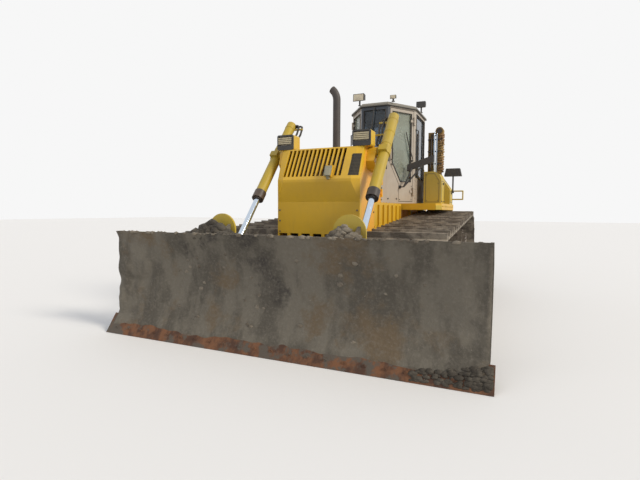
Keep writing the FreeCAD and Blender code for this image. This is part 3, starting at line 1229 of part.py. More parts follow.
def build_mask():
    thick = S.mask_thick
    shell = taper("mask_shell", mask_sections(as_size(0), S.mask_low, S.mask_high, as_size(0)))
    hollow = taper("mask_hollow", mask_sections(thick, S.mask_low - 1, S.mask_high - thick, as_size(1)))
    front = back(nose_low) - S.latch_proud
    deep = back(S.mask_top_back) + S.mask_return
    openings = []
    first = S.slot_middle - (S.slot_pitch * (S.slot_count - 1) + S.slot_width) / 2
    for number in range(int(S.slot_count.value)):
        x = first + S.slot_pitch * number
        openings.append(slab("slot" + str(number), "XZ", [
            (x, S.slot_low),
            (x + S.slot_width, S.slot_low),
            (x + S.slot_width + S.slot_slant, S.slot_high),
            (x + S.slot_slant, S.slot_high),
        ], front, deep))
    pitch = (S.vent_high - S.vent_low) / S.vent_slits
    vent_inner = mask_half - S.vent_width - S.vent_slit
    for number in range(int(S.vent_slits.value)):
        z = S.vent_low + pitch * number
        shift = S.slot_slant * (1 - number / S.vent_slits.value)
        openings.append(block("vent_slit" + str(number),
                              (vent_inner + shift / 2, vent_inner + shift / 2 + S.vent_width - shift), (front, deep),
                              (z, z + S.vent_slit)))
    spread = S.mask_width / S.toe_slots
    for number in range(int(S.toe_slots.value)):
        x = spread * (number + 0.5) - mask_half
        openings.append(block("toe_slot" + str(number), (x - S.toe_slot_width / 2, x + S.toe_slot_width / 2),
                              (front, back(S.mask_back) + thick * 2),
                              (S.mask_low - 1, S.mask_low + S.toe_slot_height)))
    pierced = cut("mask_pierced", cut("mask_plate", shell, [hollow]), openings)
    lean_low = (S.latch_low - lip_top) / (S.mask_high - lip_top) * S.mask_lean
    lean_high = (S.latch_high - lip_top) / (S.mask_high - lip_top) * S.mask_lean
    face_low = back(nose_low + lean_low)
    face_high = back(nose_low + lean_high)
    latch = slab("latch_box", "YZ", [
        (face_low - S.latch_proud * 0.8, S.latch_low),
        (face_low + thick, S.latch_low),
        (face_high + thick, S.latch_high),
        (face_high - S.latch_proud * 0.8, S.latch_high),
        (face_high - S.latch_proud, S.latch_high - S.latch_proud / 2),
        (face_low - S.latch_proud, S.latch_low + S.latch_proud / 2),
    ], S.latch_side - S.latch_width / 2, S.latch_side + S.latch_width / 2)
    keep("radiator_mask", fuse("mask", [pierced, latch]))

    low_front = back(S.mask_back) + S.mask_return + S.seat_gap
    top_front = low_front + S.mask_side_lean
    wall = slab("guard_side", "YZ", [
        (low_front, S.mask_low),
        (low_front, lip_top),
        (top_front, S.mask_high),
        (guard_rear, S.mask_high),
        (guard_rear, S.mask_low),
    ], mask_half - S.guard_wall, mask_half)
    roof = block("guard_roof_plate", (1 - mask_half, mask_half - 1), (top_front, guard_rear),
                 (S.mask_high - S.guard_wall, S.mask_high))
    keep("radiator_guard", fuse("guard_solid", [wall, mirror("guard_side_right", wall), roof]))
    core_half = mask_half - S.guard_wall - S.seat_gap
    core_front = back(S.mask_back + S.core_behind)
    keep("radiator", block("radiator_core", (-core_half, core_half), (core_front, core_front + S.core_thick),
                           (S.mask_low + S.seat_gap, S.mask_high - S.core_below)))


hood_half = S.hood_width / 2
hood_front = guard_rear + S.seat_gap
hood_rear = back(S.hood_rear_back)
hood_top_rear = back(S.hood_top_back)
hood_eave = S.hood_high - S.hood_bevel - S.hood_wall
hood_run = hood_top_rear - hood_front
hood_narrowing = S.hood_front_half - S.hood_rear_half
hood_side_length = root(hood_run * hood_run + hood_narrowing * hood_narrowing)
hood_along = (-hood_narrowing / hood_side_length, hood_run / hood_side_length)
hood_outward = (hood_run / hood_side_length, hood_narrowing / hood_side_length)


def hood_point(along, outward):
    """Plan point from a distance along the left slanted side of the hood and one outside its face."""
    return (S.hood_front_half + hood_along[0] * along + hood_outward[0] * outward,
            hood_front + hood_along[1] * along + hood_outward[1] * outward)


def hood_strip(name, along_start, along_end, inner, outer, low, high):
    """An upright plate on the left slanted side of the hood."""
    corners = [hood_point(along_start, inner), hood_point(along_start, outer),
               hood_point(along_end, outer), hood_point(along_end, inner)]
    return slab(name, "XY", corners, low, high)


def hood_plan(inset):
    """Plan of the hood's upper body with its sides and ends moved inwards."""
    left = [(S.hood_front_half - inset, hood_front + inset), (S.hood_rear_half - inset, hood_top_rear - inset)]
    return left + [(-x, y) for x, y in reversed(left)]


def build_hood():
    side_low = S.hull_high + S.seat_gap
    post = S.hood_post
    wall = S.hood_wall
    gap = S.swing_gap
    deck_low = S.hood_deck - wall
    body = block("hood_body", (-hood_half, hood_half), (hood_front, hood_rear), (side_low, S.hood_deck))
    body_hollow = block("hood_body_hollow", (wall - hood_half, hood_half - wall), (hood_front + wall, hood_rear - wall),
                        (side_low - 1, deck_low))
    deck_hole = slab("hood_deck_hole", "XY", hood_plan(wall * 1.2), deck_low - 1, S.hood_deck + 1)
    front_hole = block("hood_front_hole", (post * 2 - hood_half, hood_half - post * 2),
                       (hood_front - 1, hood_front + wall + 1), (side_low + post, hood_eave - post / 2))
    front_frame = slab("hood_front_frame", "XZ", [
        (S.hood_front_half - 2, S.hood_deck - 1),
        (S.hood_front_half - 2, hood_eave + 1),
        (2 - S.hood_front_half, hood_eave + 1),
        (2 - S.hood_front_half, S.hood_deck - 1),
    ], hood_front, hood_front + wall / 2)
    rear_frame = block("hood_rear_wall", (-S.hood_rear_half, S.hood_rear_half), (hood_top_rear - wall, hood_top_rear),
                       (S.hood_deck - 1, hood_eave + 1))
    corner = hood_strip("hood_front_corner", as_size(4), post, -wall, as_size(0), S.hood_deck - 1, hood_eave + 1)
    roof = taper("hood_roof", [
        (hood_eave, hood_plan(as_size(0))),
        (S.hood_high - S.hood_bevel, hood_plan(as_size(0))),
        (S.hood_high, hood_plan(S.hood_bevel)),
    ])
    roof_hollow = taper("hood_roof_hollow", [
        (hood_eave - 1, hood_plan(wall)),
        (S.hood_high - S.hood_bevel, hood_plan(wall)),
        (S.hood_high - wall, hood_plan(S.hood_bevel)),
    ])
    top_hole = round_bar("hood_exhaust_hole", "Z", S.exhaust_radius + gap,
                         (S.exhaust_side, back(S.exhaust_back), hood_eave), S.hood_bevel * 2 + wall)
    ribs = []
    spread = (hood_rear - hood_front) / S.hood_ribs
    for number in range(int(S.hood_ribs.value)):
        y = hood_front + spread * (number + 0.5)
        ribs.append(block("hood_rib" + str(number), (hood_half - 1, hood_half + S.hood_rib),
                          (y - S.hood_rib / 2, y + S.hood_rib / 2), (side_low + post, S.hood_deck - post / 2)))

    door_start = post + gap
    door_end = hood_side_length - wall - gap
    door_low = S.hood_deck + gap
    door_high = hood_eave - gap
    fixed = []
    moving = []
    axis = hood_point(door_end + gap / 2, S.hinge_knuckle)
    for number, level in enumerate((door_low + S.hinge_inset, door_high - S.hinge_inset - S.hinge_height)):
        pin, leaf = hinge("hood_hinge" + str(number), axis, hood_along, level)
        fixed.append(pin)
        moving.append(leaf)
    twins = [mirror(piece.Name + "_twin", piece) for piece in fixed + ribs + [corner]]
    pieces = [cut("hood_body_open", body, [body_hollow, deck_hole]), cut("hood_roof_open", roof, [roof_hollow]),
              front_frame, rear_frame, corner]
    keep("hood", cut("hood_solid", fuse("hood_parts", pieces + fixed + ribs + twins), [front_hole, top_hole]))

    leaf = hood_strip("hood_leaf", door_start, door_end, -wall, as_size(0), door_low, door_high)
    middle = (door_low + door_high) / 2
    spread = (door_end - door_start) / (S.louvre_count + 2)
    louvres = []
    for number in range(int(S.louvre_count.value)):
        along = door_start + spread * (number + 1.5)
        louvres.append(hood_strip("louvre" + str(number), along - S.louvre_width / 2, along + S.louvre_width / 2,
                                  -wall - 1, as_size(1), middle - S.louvre_height / 2, middle + S.louvre_height / 2))
    keep_pair("hood_door", fuse("hood_door", [cut("hood_leaf_open", leaf, louvres)] + moving))

    engine_high = S.hood_high - S.engine_headroom
    engine_front = hood_front + wall + S.engine_gap
    engine_rear = hood_top_rear - wall - S.engine_gap
    lower = block("engine_lower", (-S.engine_half, S.engine_half), (engine_front, engine_rear),
                  (side_low, deck_low - S.engine_beside))
    shrink = hood_narrowing / hood_run
    inset = wall + S.engine_beside
    front_half = S.hood_front_half - shrink * (engine_front - hood_front) - inset
    rear_half = S.hood_front_half - shrink * (engine_rear - hood_front) - inset
    upper = slab("engine_upper", "XY", [
        (front_half, engine_front + 1),
        (rear_half, engine_rear - 1),
        (-rear_half, engine_rear - 1),
        (-front_half, engine_front + 1),
    ], deck_low - S.engine_beside - 1, engine_high)
    keep("engine_block", fuse("engine", [lower, upper]))

    y = back(S.exhaust_back)
    turn = math.radians(S.exhaust_turn.value)
    elbow_high = S.exhaust_high - S.exhaust_bend * math.sin(turn)
    foot = engine_high + S.seat_gap
    tubes = []
    for part, radius, start, more in (("outer", S.exhaust_radius, foot, 0),
                                      ("inner", S.exhaust_radius - S.exhaust_wall, foot + S.exhaust_wall, 1)):
        pipe = round_bar("exhaust_" + part, "Z", radius, (S.exhaust_side, y, start), elbow_high - start)
        elbow = doc.addObject("Part::Torus", "exhaust_elbow_" + part)
        bind(elbow, "Radius1", S.exhaust_bend)
        bind(elbow, "Radius2", radius)
        bind(elbow, "Angle3", S.exhaust_turn + more)
        place(elbow, (S.exhaust_side - S.exhaust_bend, y, elbow_high), V(1, 0, 0), 90)
        tubes.append(fuse("exhaust_tube_" + part, [pipe, elbow]))
    keep("exhaust_pipe", cut("exhaust", tubes[0], [tubes[1]]))


def lamp_outline(inset):
    """Front view of a lamp with its sloped corners."""
    left, right = S.lamp_outer - inset, S.lamp_inner + inset
    low = S.mask_high + S.seat_gap + inset
    high = S.mask_high + S.lamp_height - inset
    corner = S.lamp_bezel * 0.7 - inset * 0.3
    return [
        (left, low + corner), (left, high - corner), (left - corner, high), (right + corner, high),
        (right, high - corner), (right, low + corner), (right + corner, low), (left - corner, low),
    ]


def build_lamps():
    front = back(S.mask_top_back) - S.lamp_bezel
    seat = front + S.lamp_bezel + S.seat_gap
    box = slab("lamp_box", "XZ", lamp_outline(as_size(0)), seat, seat + S.lamp_depth)
    hollow = slab("lamp_hollow", "XZ", lamp_outline(S.lamp_wall), seat - 1, seat + S.lamp_depth - S.lamp_wall)
    keep("front_lamps", both_sides("front_lamp_pair", cut("lamp_housing", box, [hollow])))
    frame = slab("lamp_frame", "XZ", lamp_outline(as_size(0)), front, front + S.lamp_bezel)
    hole_low = S.mask_high + S.lamp_apron
    hole = block("lamp_frame_hole", (S.lamp_inner + S.lamp_bezel, S.lamp_outer - S.lamp_bezel),
                 (front - 1, front + S.lamp_bezel + 1), (hole_low, S.mask_high + S.lamp_height - S.lamp_bezel))
    ring = cut("lamp_ring", frame, [hole])
    pitch = (S.lamp_height - S.lamp_bezel - S.lamp_apron) / (S.lamp_bars + 1)
    bars = []
    for number in range(int(S.lamp_bars.value)):
        z = hole_low + pitch * (number + 1)
        bars.append(block("lamp_bar" + str(number), (S.lamp_inner + S.lamp_bezel / 2, S.lamp_outer - S.lamp_bezel / 2),
                          (front - S.lamp_bar / 2, front + S.lamp_bar),
                          (z - S.lamp_bar / 2, z + S.lamp_bar / 2)))
    keep("lamp_guards", both_sides("lamp_guard_pair", fuse("lamp_guard", [ring] + bars)))
    lens = slab("lamp_lens", "XZ", lamp_outline(S.lamp_wall + S.seat_gap), seat + S.lamp_wall, seat + S.lamp_wall * 2)
    keep("lamp_lenses", both_sides("lamp_lens_pair", lens))


# Cab

cab_front_half = S.cab_front_width / 2
cab_side = S.cab_width / 2
door_run = S.cab_corner_back - S.cab_front_back
door_side = cab_side - cab_front_half
diagonal_length = root(door_run * door_run + door_side * door_side)
door_along = (door_side / diagonal_length, door_run / diagonal_length)
door_outward = (door_run / diagonal_length, -door_side / diagonal_length)
roof_low = S.cab_top - S.cab_roof_thick


def cab_plan(inset):
    """Plan of the cab with every wall moved inwards by the inset."""
    front = cab_front_half - inset * 0.41
    side = cab_side - inset
    left = [
        (front, back(S.cab_front_back) + inset),
        (side, back(S.cab_corner_back) + inset * 0.41),
        (side, back(S.cab_rear_back) - inset),
    ]
    return left + [(-x, y) for x, y in reversed(left)]


def on_diagonal(along, outward):
    """Plan point from a distance along the left diagonal wall and one outside its face."""
    return (cab_front_half + door_along[0] * along + door_outward[0] * outward,
            back(S.cab_front_back) + door_along[1] * along + door_outward[1] * outward)


def diagonal_slab(name, corners, inner, outer):
    """A plate on the left diagonal wall: its outline is given as (along the wall, height)."""
    plate = slab(name, "YZ", corners, inner, outer)
    turn = Size(-math.degrees(math.atan2(door_side.value, door_run.value)),
                "(0 deg - atan2(" + door_side.text + "; " + door_run.text + "))")
    place(plate, (cab_front_half, back(S.cab_front_back), as_size(0)), V(0, 0, 1), turn)
    bind(plate, "Placement.Rotation.Angle", turn)
    return plate


def build_cab():
    wall = S.cab_wall
    post = S.cab_post
    tight = S.seat_gap
    front = back(S.cab_front_back)
    rear = back(S.cab_rear_back)
    corner = back(S.cab_corner_back)
    outer = slab("cab_outer", "XY", cab_plan(as_size(0)), S.cab_floor + tight, roof_low - tight)
    hollow = slab("cab_hollow", "XY", cab_plan(wall), S.cab_floor - 1, roof_low + 1)
    side_hole = block("side_windows", (-cab_side - 1, cab_side + 1), (corner + post, rear - post),
                      (S.cab_sill, S.cab_head))
    front_pane_half = cab_front_half - post / 2
    front_hole = block("front_window", (-front_pane_half, front_pane_half), (front - 1, front + wall + 1),
                       (S.cab_front_sill, S.cab_head))
    rear_pane_half = cab_side - post * 2
    rear_hole = block("rear_window", (-rear_pane_half, rear_pane_half), (rear - wall - 1, rear + 1),
                      (S.cab_rear_sill, S.cab_head))

    gap = S.swing_gap
    start = post * 0.8 + gap
    end = diagonal_length - post * 0.6 - gap
    low = S.cab_floor + S.door_sill_rise + gap
    high = S.cab_head + post / 2 - gap

    def door_outline(grow):
        """The door's outline with its sloped lower front corner."""
        return [
            (start - grow, high + grow),
            (end + grow, high + grow),
            (end + grow, low - grow),
            (start + S.door_cut_run - grow, low - grow),
            (start + S.door_cut_run - grow, S.door_cut_low - grow / 2),
            (start - grow, S.door_cut_high - grow / 2),
        ]

    slope = S.door_cut_run / (S.door_cut_high - S.door_cut_low)

    def pane_outline(frame):
        pane_high = S.door_cut_high + frame * 0.3
        pane_low = S.door_pane_low + (frame - S.door_frame)
        return [
            (start + frame, high - frame),
            (end - frame, high - frame),
            (end - frame, pane_low),
            (start + frame + (pane_high - pane_low) * slope, pane_low),
            (start + frame, pane_high),
        ]

    doorway = diagonal_slab("doorway", door_outline(gap), -wall * 2, wall)
    axis = on_diagonal(end + gap / 2, S.hinge_knuckle)
    fixed = []
    moving = []
    for number, level in enumerate((low + S.hinge_inset, high - S.hinge_inset - S.hinge_height)):
        pin, leaf = hinge("cab_hinge" + str(number), axis, door_along, level)
        fixed.append(pin)
        moving.append(leaf)
    twins = [mirror(piece.Name + "_twin", piece) for piece in fixed]
    shell = cut("cab_frame", outer, [hollow, side_hole, front_hole, rear_hole, doorway,
                                     mirror("doorway_right", doorway)])
    cowl_front = front - S.cowl_length
    cowl_low = S.cab_floor + tight
    narrow = (cab_front_half - S.cowl_half) / S.cowl_length * wall
    cowl = slab("cowl_solid", "XY", [
        (S.cowl_half, cowl_front),
        (cab_front_half, front + 1),
        (-cab_front_half, front + 1),
        (-S.cowl_half, cowl_front),
    ], cowl_low, S.cowl_high)
    cowl_hollow = slab("cowl_hollow", "XY", [
        (S.cowl_half - wall + narrow, cowl_front + wall),
        (cab_front_half - wall, front - 1),
        (wall - cab_front_half, front - 1),
        (wall - S.cowl_half - narrow, cowl_front + wall),
    ], cowl_low - 1, S.cowl_high - wall)
    keep("cab_shell", fuse("cab_frame_hinged", [shell, cut("cowl", cowl, [cowl_hollow])] + fixed + twins))

    leaf = diagonal_slab("door_leaf", door_outline(as_size(0)), -wall, as_size(0))
    pane_hole = diagonal_slab("door_pane_hole", pane_outline(S.door_frame), -wall - 1, wall)
    keep_pair("cab_door", fuse("door", [cut("door_frame", leaf, [pane_hole])] + moving))
    middle = wall / 2
    keep_pair("door_glass", diagonal_slab("door_pane", pane_outline(S.door_frame + tight * 2),
                                          -middle - S.glass_thick, -middle))

    keep("cab_floor", slab("floor_plate", "XY", cab_plan(as_size(0)), S.cab_floor - S.cab_floor_thick, S.cab_floor))
    keep("cab_roof", taper("roof_plate", [
        (roof_low, cab_plan(-S.cab_eave)),
        (S.cab_top - S.cab_roof_bevel, cab_plan(-S.cab_eave)),
        (S.cab_top, cab_plan(S.cab_roof_bevel - S.cab_eave)),
    ]))
    thick = S.glass_thick
    front_pane = block("front_pane", (tight - front_pane_half, front_pane_half - tight),
                       (front + middle, front + middle + thick), (S.cab_front_sill + tight, S.cab_head - tight))
    rear_pane = block("rear_pane", (tight - rear_pane_half, rear_pane_half - tight),
                      (rear - middle - thick, rear - middle), (S.cab_rear_sill + tight, S.cab_head - tight))
    side_pane = block("side_pane", (cab_side - middle - thick, cab_side - middle),
                      (corner + post + tight, rear - post - tight), (S.cab_sill + tight, S.cab_head - tight))
    keep("cab_glass", group("panes", [front_pane, rear_pane, side_pane, mirror("side_pane_right", side_pane)]))

    seat_rear = rear - S.seat_behind
    seat_sides = (-S.seat_half, S.seat_half)
    base = block("seat_base", (-S.seat_half * 0.8, S.seat_half * 0.8),
                 (seat_rear - S.seat_length * 0.9, seat_rear), (S.cab_floor + tight, S.cab_floor + S.seat_low + 1))
    cushion = block("seat_cushion", seat_sides, (seat_rear - S.seat_length, seat_rear),
                    (S.cab_floor + S.seat_low, S.cab_floor + S.seat_high))
    rest = block("seat_rest", seat_sides, (seat_rear - S.seat_back_thick, seat_rear),
                 (S.cab_floor + S.seat_high - 1, S.cab_floor + S.seat_back_high))
    keep("seat", fuse("seat_solid", [base, cushion, rest]))
    keep("dash_console", block("console", (-S.console_half, S.console_half),
                               (front + S.console_front, front + S.console_front + S.console_depth),
                               (S.cab_floor + tight, S.cab_floor + S.console_high)))

    foot_along = start + S.door_cut_run + S.door_frame / 2
    foot_high = low + S.mirror_foot
    bend = on_diagonal(foot_along, S.mirror_reach) + (foot_high,)
    mirror_y = front + S.mirror_behind
    keep_pair("door_mirror", fuse("mirror_unit", [
        long_mirror(mirror_y),
        rod_chain("mirror_stay", S.mirror_rod, [
            on_diagonal(foot_along, S.seat_gap) + (foot_high,),
            bend,
            (S.mirror_inner + S.mirror_length * 0.2, mirror_y, S.mirror_low + S.mirror_height * 0.7),
        ]),
        rod_chain("mirror_brace", S.mirror_rod, [
            bend,
            (S.mirror_inner + S.mirror_length * 0.6, mirror_y, S.mirror_low + S.mirror_height),
        ]),
    ]))


def long_mirror(y):
    """The long mirror beside the door, which rises towards its outer end."""
    outer = S.mirror_inner + S.mirror_length
    low = S.mirror_low
    return slab("mirror_panel", "XZ", [
        (S.mirror_inner, low),
        (outer, low + S.mirror_lift),
        (outer, low + S.mirror_lift + S.mirror_height),
        (S.mirror_inner, low + S.mirror_height),
    ], y - S.mirror_thick / 2, y + S.mirror_thick / 2)


# Lamps on the roof: name, side, behind the cab front, size share, above the roof
ROOF_LAMPS = [
    ("right", -300, 130, 1.0, 62),
    ("small", 295, 62, 0.5, 38),
    ("left", 560, 1050, 0.85, 88),
]


def build_roof_lamps():
    pieces = []
    for name, side, behind, share, rise in ROOF_LAMPS:
        half = S.roof_lamp_width * share / 2
        high = S.roof_lamp_height * share
        deep = S.roof_lamp_depth * share
        y = back(S.cab_front_back) + behind
        low = S.cab_top + rise
        box = slab("roof_lamp_box_" + name, "YZ", [
            (y - deep, low),
            (y, low + high * 0.2),
            (y, low + high * 0.9),
            (y - deep * 0.9, low + high),
        ], side - half, half + side)
        stalk = round_bar("roof_lamp_stalk_" + name, "Z", S.roof_lamp_stalk,
                          (as_size(side), y - S.roof_lamp_stalk - 2, S.cab_top + S.seat_gap), rise + high * 0.5)
        foot = round_bar("roof_lamp_foot_" + name, "Z", S.roof_lamp_stalk * 2,
                         (as_size(side), y - S.roof_lamp_stalk - 2, S.cab_top + S.seat_gap), S.roof_lamp_stalk / 2)
        pieces.append(fuse("roof_lamp_" + name, [box, stalk, foot]))
    keep("roof_lamps", group("roof_lamp_set", pieces))


# Platform, fenders and what stands on them

deck_low = S.cab_floor - S.fender_deck
box_inner = cab_side + S.box_clear
pannier_inner = cab_side + S.pannier_clear
box_seat = S.cab_floor + S.seat_gap
pannier_front = back(S.box_rear_back) + S.seat_gap
pannier_rear = pannier_front + S.pannier_length


def build_platform():
    """Box frame that carries the cab floor on the main frame."""
    half = S.hull_width / 2
    high = S.cab_floor - S.cab_floor_thick - S.seat_gap
    low = S.hull_high + S.seat_gap
    front = back(S.fender_front_back)
    rear = back(S.cab_rear_back)
    wall = S.platform_wall
    box = block("platform_box", (-half, half), (front, rear), (low, high))
    hollow = block("platform_hollow", (wall - half, half - wall), (front + wall, rear - wall), (low - 1, high + 1))
    keep("cab_platform", cut("platform", box, [hollow]))


def build_fenders():
    front = back(S.fender_front_back)
    rear = back(S.fender_rear_back)
    inner = cab_side + S.seat_gap
    slant = door_side / door_run
    start = cab_front_half + slant * S.fender_step + S.seat_gap * 1.3
    nose = S.fender_skirt * 0.8
    deck = slab("fender_deck_plate", "XY", [
        (inner, back(S.cab_corner_back)),
        (inner, rear),
        (S.fender_outer, rear),
        (S.fender_outer, front + nose),
        (S.fender_outer - nose, front),
        (start, front),
    ], deck_low, S.cab_floor)
    skirt = slab("fender_edge_plate", "YZ", [
        (front + nose, S.cab_floor - S.fender_deck / 2),
        (front + nose, S.cab_floor - S.fender_skirt * 0.7),
        (front + nose * 1.5, S.cab_floor - S.fender_skirt),
        (rear, S.cab_floor - S.fender_skirt),
        (rear, S.cab_floor - S.fender_deck / 2),
    ], S.fender_outer - S.fender_edge, S.fender_outer)
    apron = block("fender_front_plate", (S.hull_width / 2 + S.seat_gap, S.fender_outer - nose),
                  (front, front + S.fender_edge),
                  (S.cab_floor - S.fender_skirt, deck_low + 1))
    stay_inner = S.hull_width / 2 + S.seat_gap
    stay_high = deck_low - S.seat_gap
    stay = slab("fender_stay", "XZ", [
        (stay_inner, S.hull_high + S.fender_skirt),
        (stay_inner + S.fender_stay, S.hull_high + S.fender_skirt),
        (stay_inner + S.fender_stay, stay_high - S.fender_stay),
        (inner + S.fender_edge, stay_high - S.fender_stay),
        (inner + S.fender_edge, deck_low + 1),
        (inner + 1, deck_low + 1),
        (inner + 1, stay_high),
        (stay_inner, stay_high),
    ], back(S.cab_corner_back) + nose, back(S.cab_corner_back) + nose + S.fender_stay * 2)
    keep("fenders", both_sides("fender_pair", fuse("fender", [deck, skirt, apron, stay])))


def build_side_boxes():
    box = slab("side_box", "XZ", [
        (box_inner, box_seat),
        (S.box_outer, box_seat),
        (S.box_outer, S.box_high - S.box_bevel),
        (S.box_outer - S.box_bevel * 0.3, S.box_high - S.box_bevel * 0.35),
        (S.box_outer - S.box_bevel, S.box_high),
        (box_inner, S.box_high),
    ], back(S.box_front_back), back(S.box_rear_back))
    pannier = slab("pannier", "XZ", [
        (pannier_inner, box_seat),
        (S.pannier_outer, box_seat),
        (S.pannier_outer, S.pannier_high - S.pannier_bevel_tall),
        (S.pannier_outer - S.pannier_bevel_wide, S.pannier_high),
        (pannier_inner, S.pannier_high),
    ], pannier_front, pannier_rear)
    keep("side_boxes", both_sides("side_box_pair", group("side_box_set", [box, pannier])))

    post = S.mast_post
    foot = S.pannier_high + S.seat_gap
    y = pannier_front + S.pannier_length / 2
    outer = S.mast_inner + S.mast_width
    low_post = block("mast_low_post", (S.mast_inner, S.mast_inner + post), (y, y + post), (foot, S.mast_high - post))
    high_post = block("mast_high_post", (outer - post, outer), (y, y + post), (foot, S.mast_high - S.mast_cap_radius))
    tie = block("mast_tie", (S.mast_inner + 1, outer - 1), (y + 1, y + post - 1),
                (S.mast_high - post * 1.6, S.mast_high - post))
    base = block("mast_foot", (S.mast_inner, outer), (y - post / 2, y + post * 1.5), (foot, foot + post / 4))
    cap = round_bar("mast_cap", "Y", S.mast_cap_radius, (outer - post / 2, y - post / 4, S.mast_high - S.mast_cap_radius),
                    post * 1.5)
    keep("rear_mast", fuse("mast", [low_post, high_post, tie, base, cap]))

    lamp_y = pannier_rear - S.tail_lamp_depth
    half = S.tail_lamp_half
    lamp = slab("tail_lamp_box", "XZ", [
        (S.tail_lamp_side - half - S.tail_lamp_flare, S.tail_lamp_low),
        (S.tail_lamp_side + half + S.tail_lamp_flare, S.tail_lamp_low),
        (S.tail_lamp_side + half, S.tail_lamp_low + S.tail_lamp_height),
        (S.tail_lamp_side - half, S.tail_lamp_low + S.tail_lamp_height),
    ], lamp_y - S.tail_lamp_depth / 2, lamp_y + S.tail_lamp_depth / 2)
    foot_high = S.pannier_high - S.pannier_bevel_tall
    thick = S.roof_lamp_stalk
    stalk = round_bar("tail_lamp_stalk", "Z", thick, (S.tail_lamp_side, lamp_y, foot_high - thick),
                      S.tail_lamp_low - foot_high + thick + 1)
    foot = block("tail_lamp_foot", (S.pannier_outer + S.seat_gap, S.tail_lamp_side + thick * 1.5),
                 (lamp_y - thick * 1.5, lamp_y + thick * 1.5), (foot_high - thick * 4, foot_high - thick + 1))
    keep("tail_lamps", both_sides("tail_lamp_pair", fuse("tail_lamp", [lamp, stalk, foot])))

    rail_y = pannier_rear - S.rail_inset
    wall = S.pannier_outer + S.seat_gap
    high = S.cab_floor + S.rail_high
    low = high - S.rail_drop
    rail = rod_chain("handrail", S.rail_radius, [
        (wall, rail_y, high),
        (wall + S.rail_out, rail_y, high),
        (wall + S.rail_out, rail_y, low),
        (wall, rail_y, low),
    ])
    keep("handrails", both_sides("handrail_pair", rail))


def build_tank():
    half = S.tank_width / 2
    front = back(S.tank_front_back)
    rear = back(S.tank_rear_back)
    low = S.hull_high + S.seat_gap
    tank = slab("fuel_tank_body", "YZ", [
        (front, low),
        (rear - S.tank_bevel, low),
        (rear, low + S.tank_bevel),
        (rear, S.tank_high - S.tank_bevel * 1.4),
        (rear - S.tank_bevel, S.tank_high),
        (front, S.tank_high),
    ], -half, half)
    cap = round_bar("fuel_cap", "Z", S.tank_cap_radius, (half / 2, front + S.tank_depth / 3, S.tank_high - 1),
                    S.tank_cap_rise + 1)
    keep("fuel_tank", fuse("tank", [tank, cap]))


build_edges()
build_blade()
build_arms()
build_braces()
build_lift_cylinders()
build_yokes()
build_tracks()
build_wheels()
build_track_frames()
build_hull()
build_mask()
build_hood()
build_lamps()
build_cab()
build_roof_lamps()
build_platform()
build_fenders()
build_side_boxes()
build_tank()

os.makedirs("parts", exist_ok=True)
doc.recompute()
for item in doc.Objects:
    if "Invalid" in item.State or "Error" in item.State:
        raise RuntimeError("failed object " + item.Name)
for node, piece in NODES.items():
    shape = piece.Shape
    if shape.isNull() or not shape.isValid():
        raise RuntimeError("bad shape " + node)
    shape.exportStep(os.path.join("parts", node + ".step"))
    print(node, len(shape.Solids), round(shape.Volume / 1e9, 4))
whole = Part.makeCompound([piece.Shape for piece in NODES.values()]).BoundBox
print("box", whole.XMin, whole.XMax, whole.YMin, whole.YMax, whole.ZMin, whole.ZMax)
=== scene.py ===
# Crawler bulldozer: dresses the CAD frame with materials, mud, fasteners, cab fittings and a plain studio.
import bpy
import bmesh
import math
import random
from mathutils import Matrix, Vector, noise


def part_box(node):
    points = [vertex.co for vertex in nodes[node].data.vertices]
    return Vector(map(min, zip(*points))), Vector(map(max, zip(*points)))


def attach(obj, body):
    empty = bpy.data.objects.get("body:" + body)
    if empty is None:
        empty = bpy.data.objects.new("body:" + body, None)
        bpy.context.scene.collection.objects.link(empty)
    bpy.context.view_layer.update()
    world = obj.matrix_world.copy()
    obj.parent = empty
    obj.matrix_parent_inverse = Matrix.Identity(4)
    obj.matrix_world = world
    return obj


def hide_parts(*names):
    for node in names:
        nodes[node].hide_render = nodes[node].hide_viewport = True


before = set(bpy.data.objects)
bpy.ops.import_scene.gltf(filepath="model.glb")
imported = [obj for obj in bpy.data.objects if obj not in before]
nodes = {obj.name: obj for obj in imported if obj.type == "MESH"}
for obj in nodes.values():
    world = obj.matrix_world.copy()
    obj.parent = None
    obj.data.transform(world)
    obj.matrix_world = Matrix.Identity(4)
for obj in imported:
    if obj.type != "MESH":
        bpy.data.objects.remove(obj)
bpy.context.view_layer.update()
rng = random.Random(11)

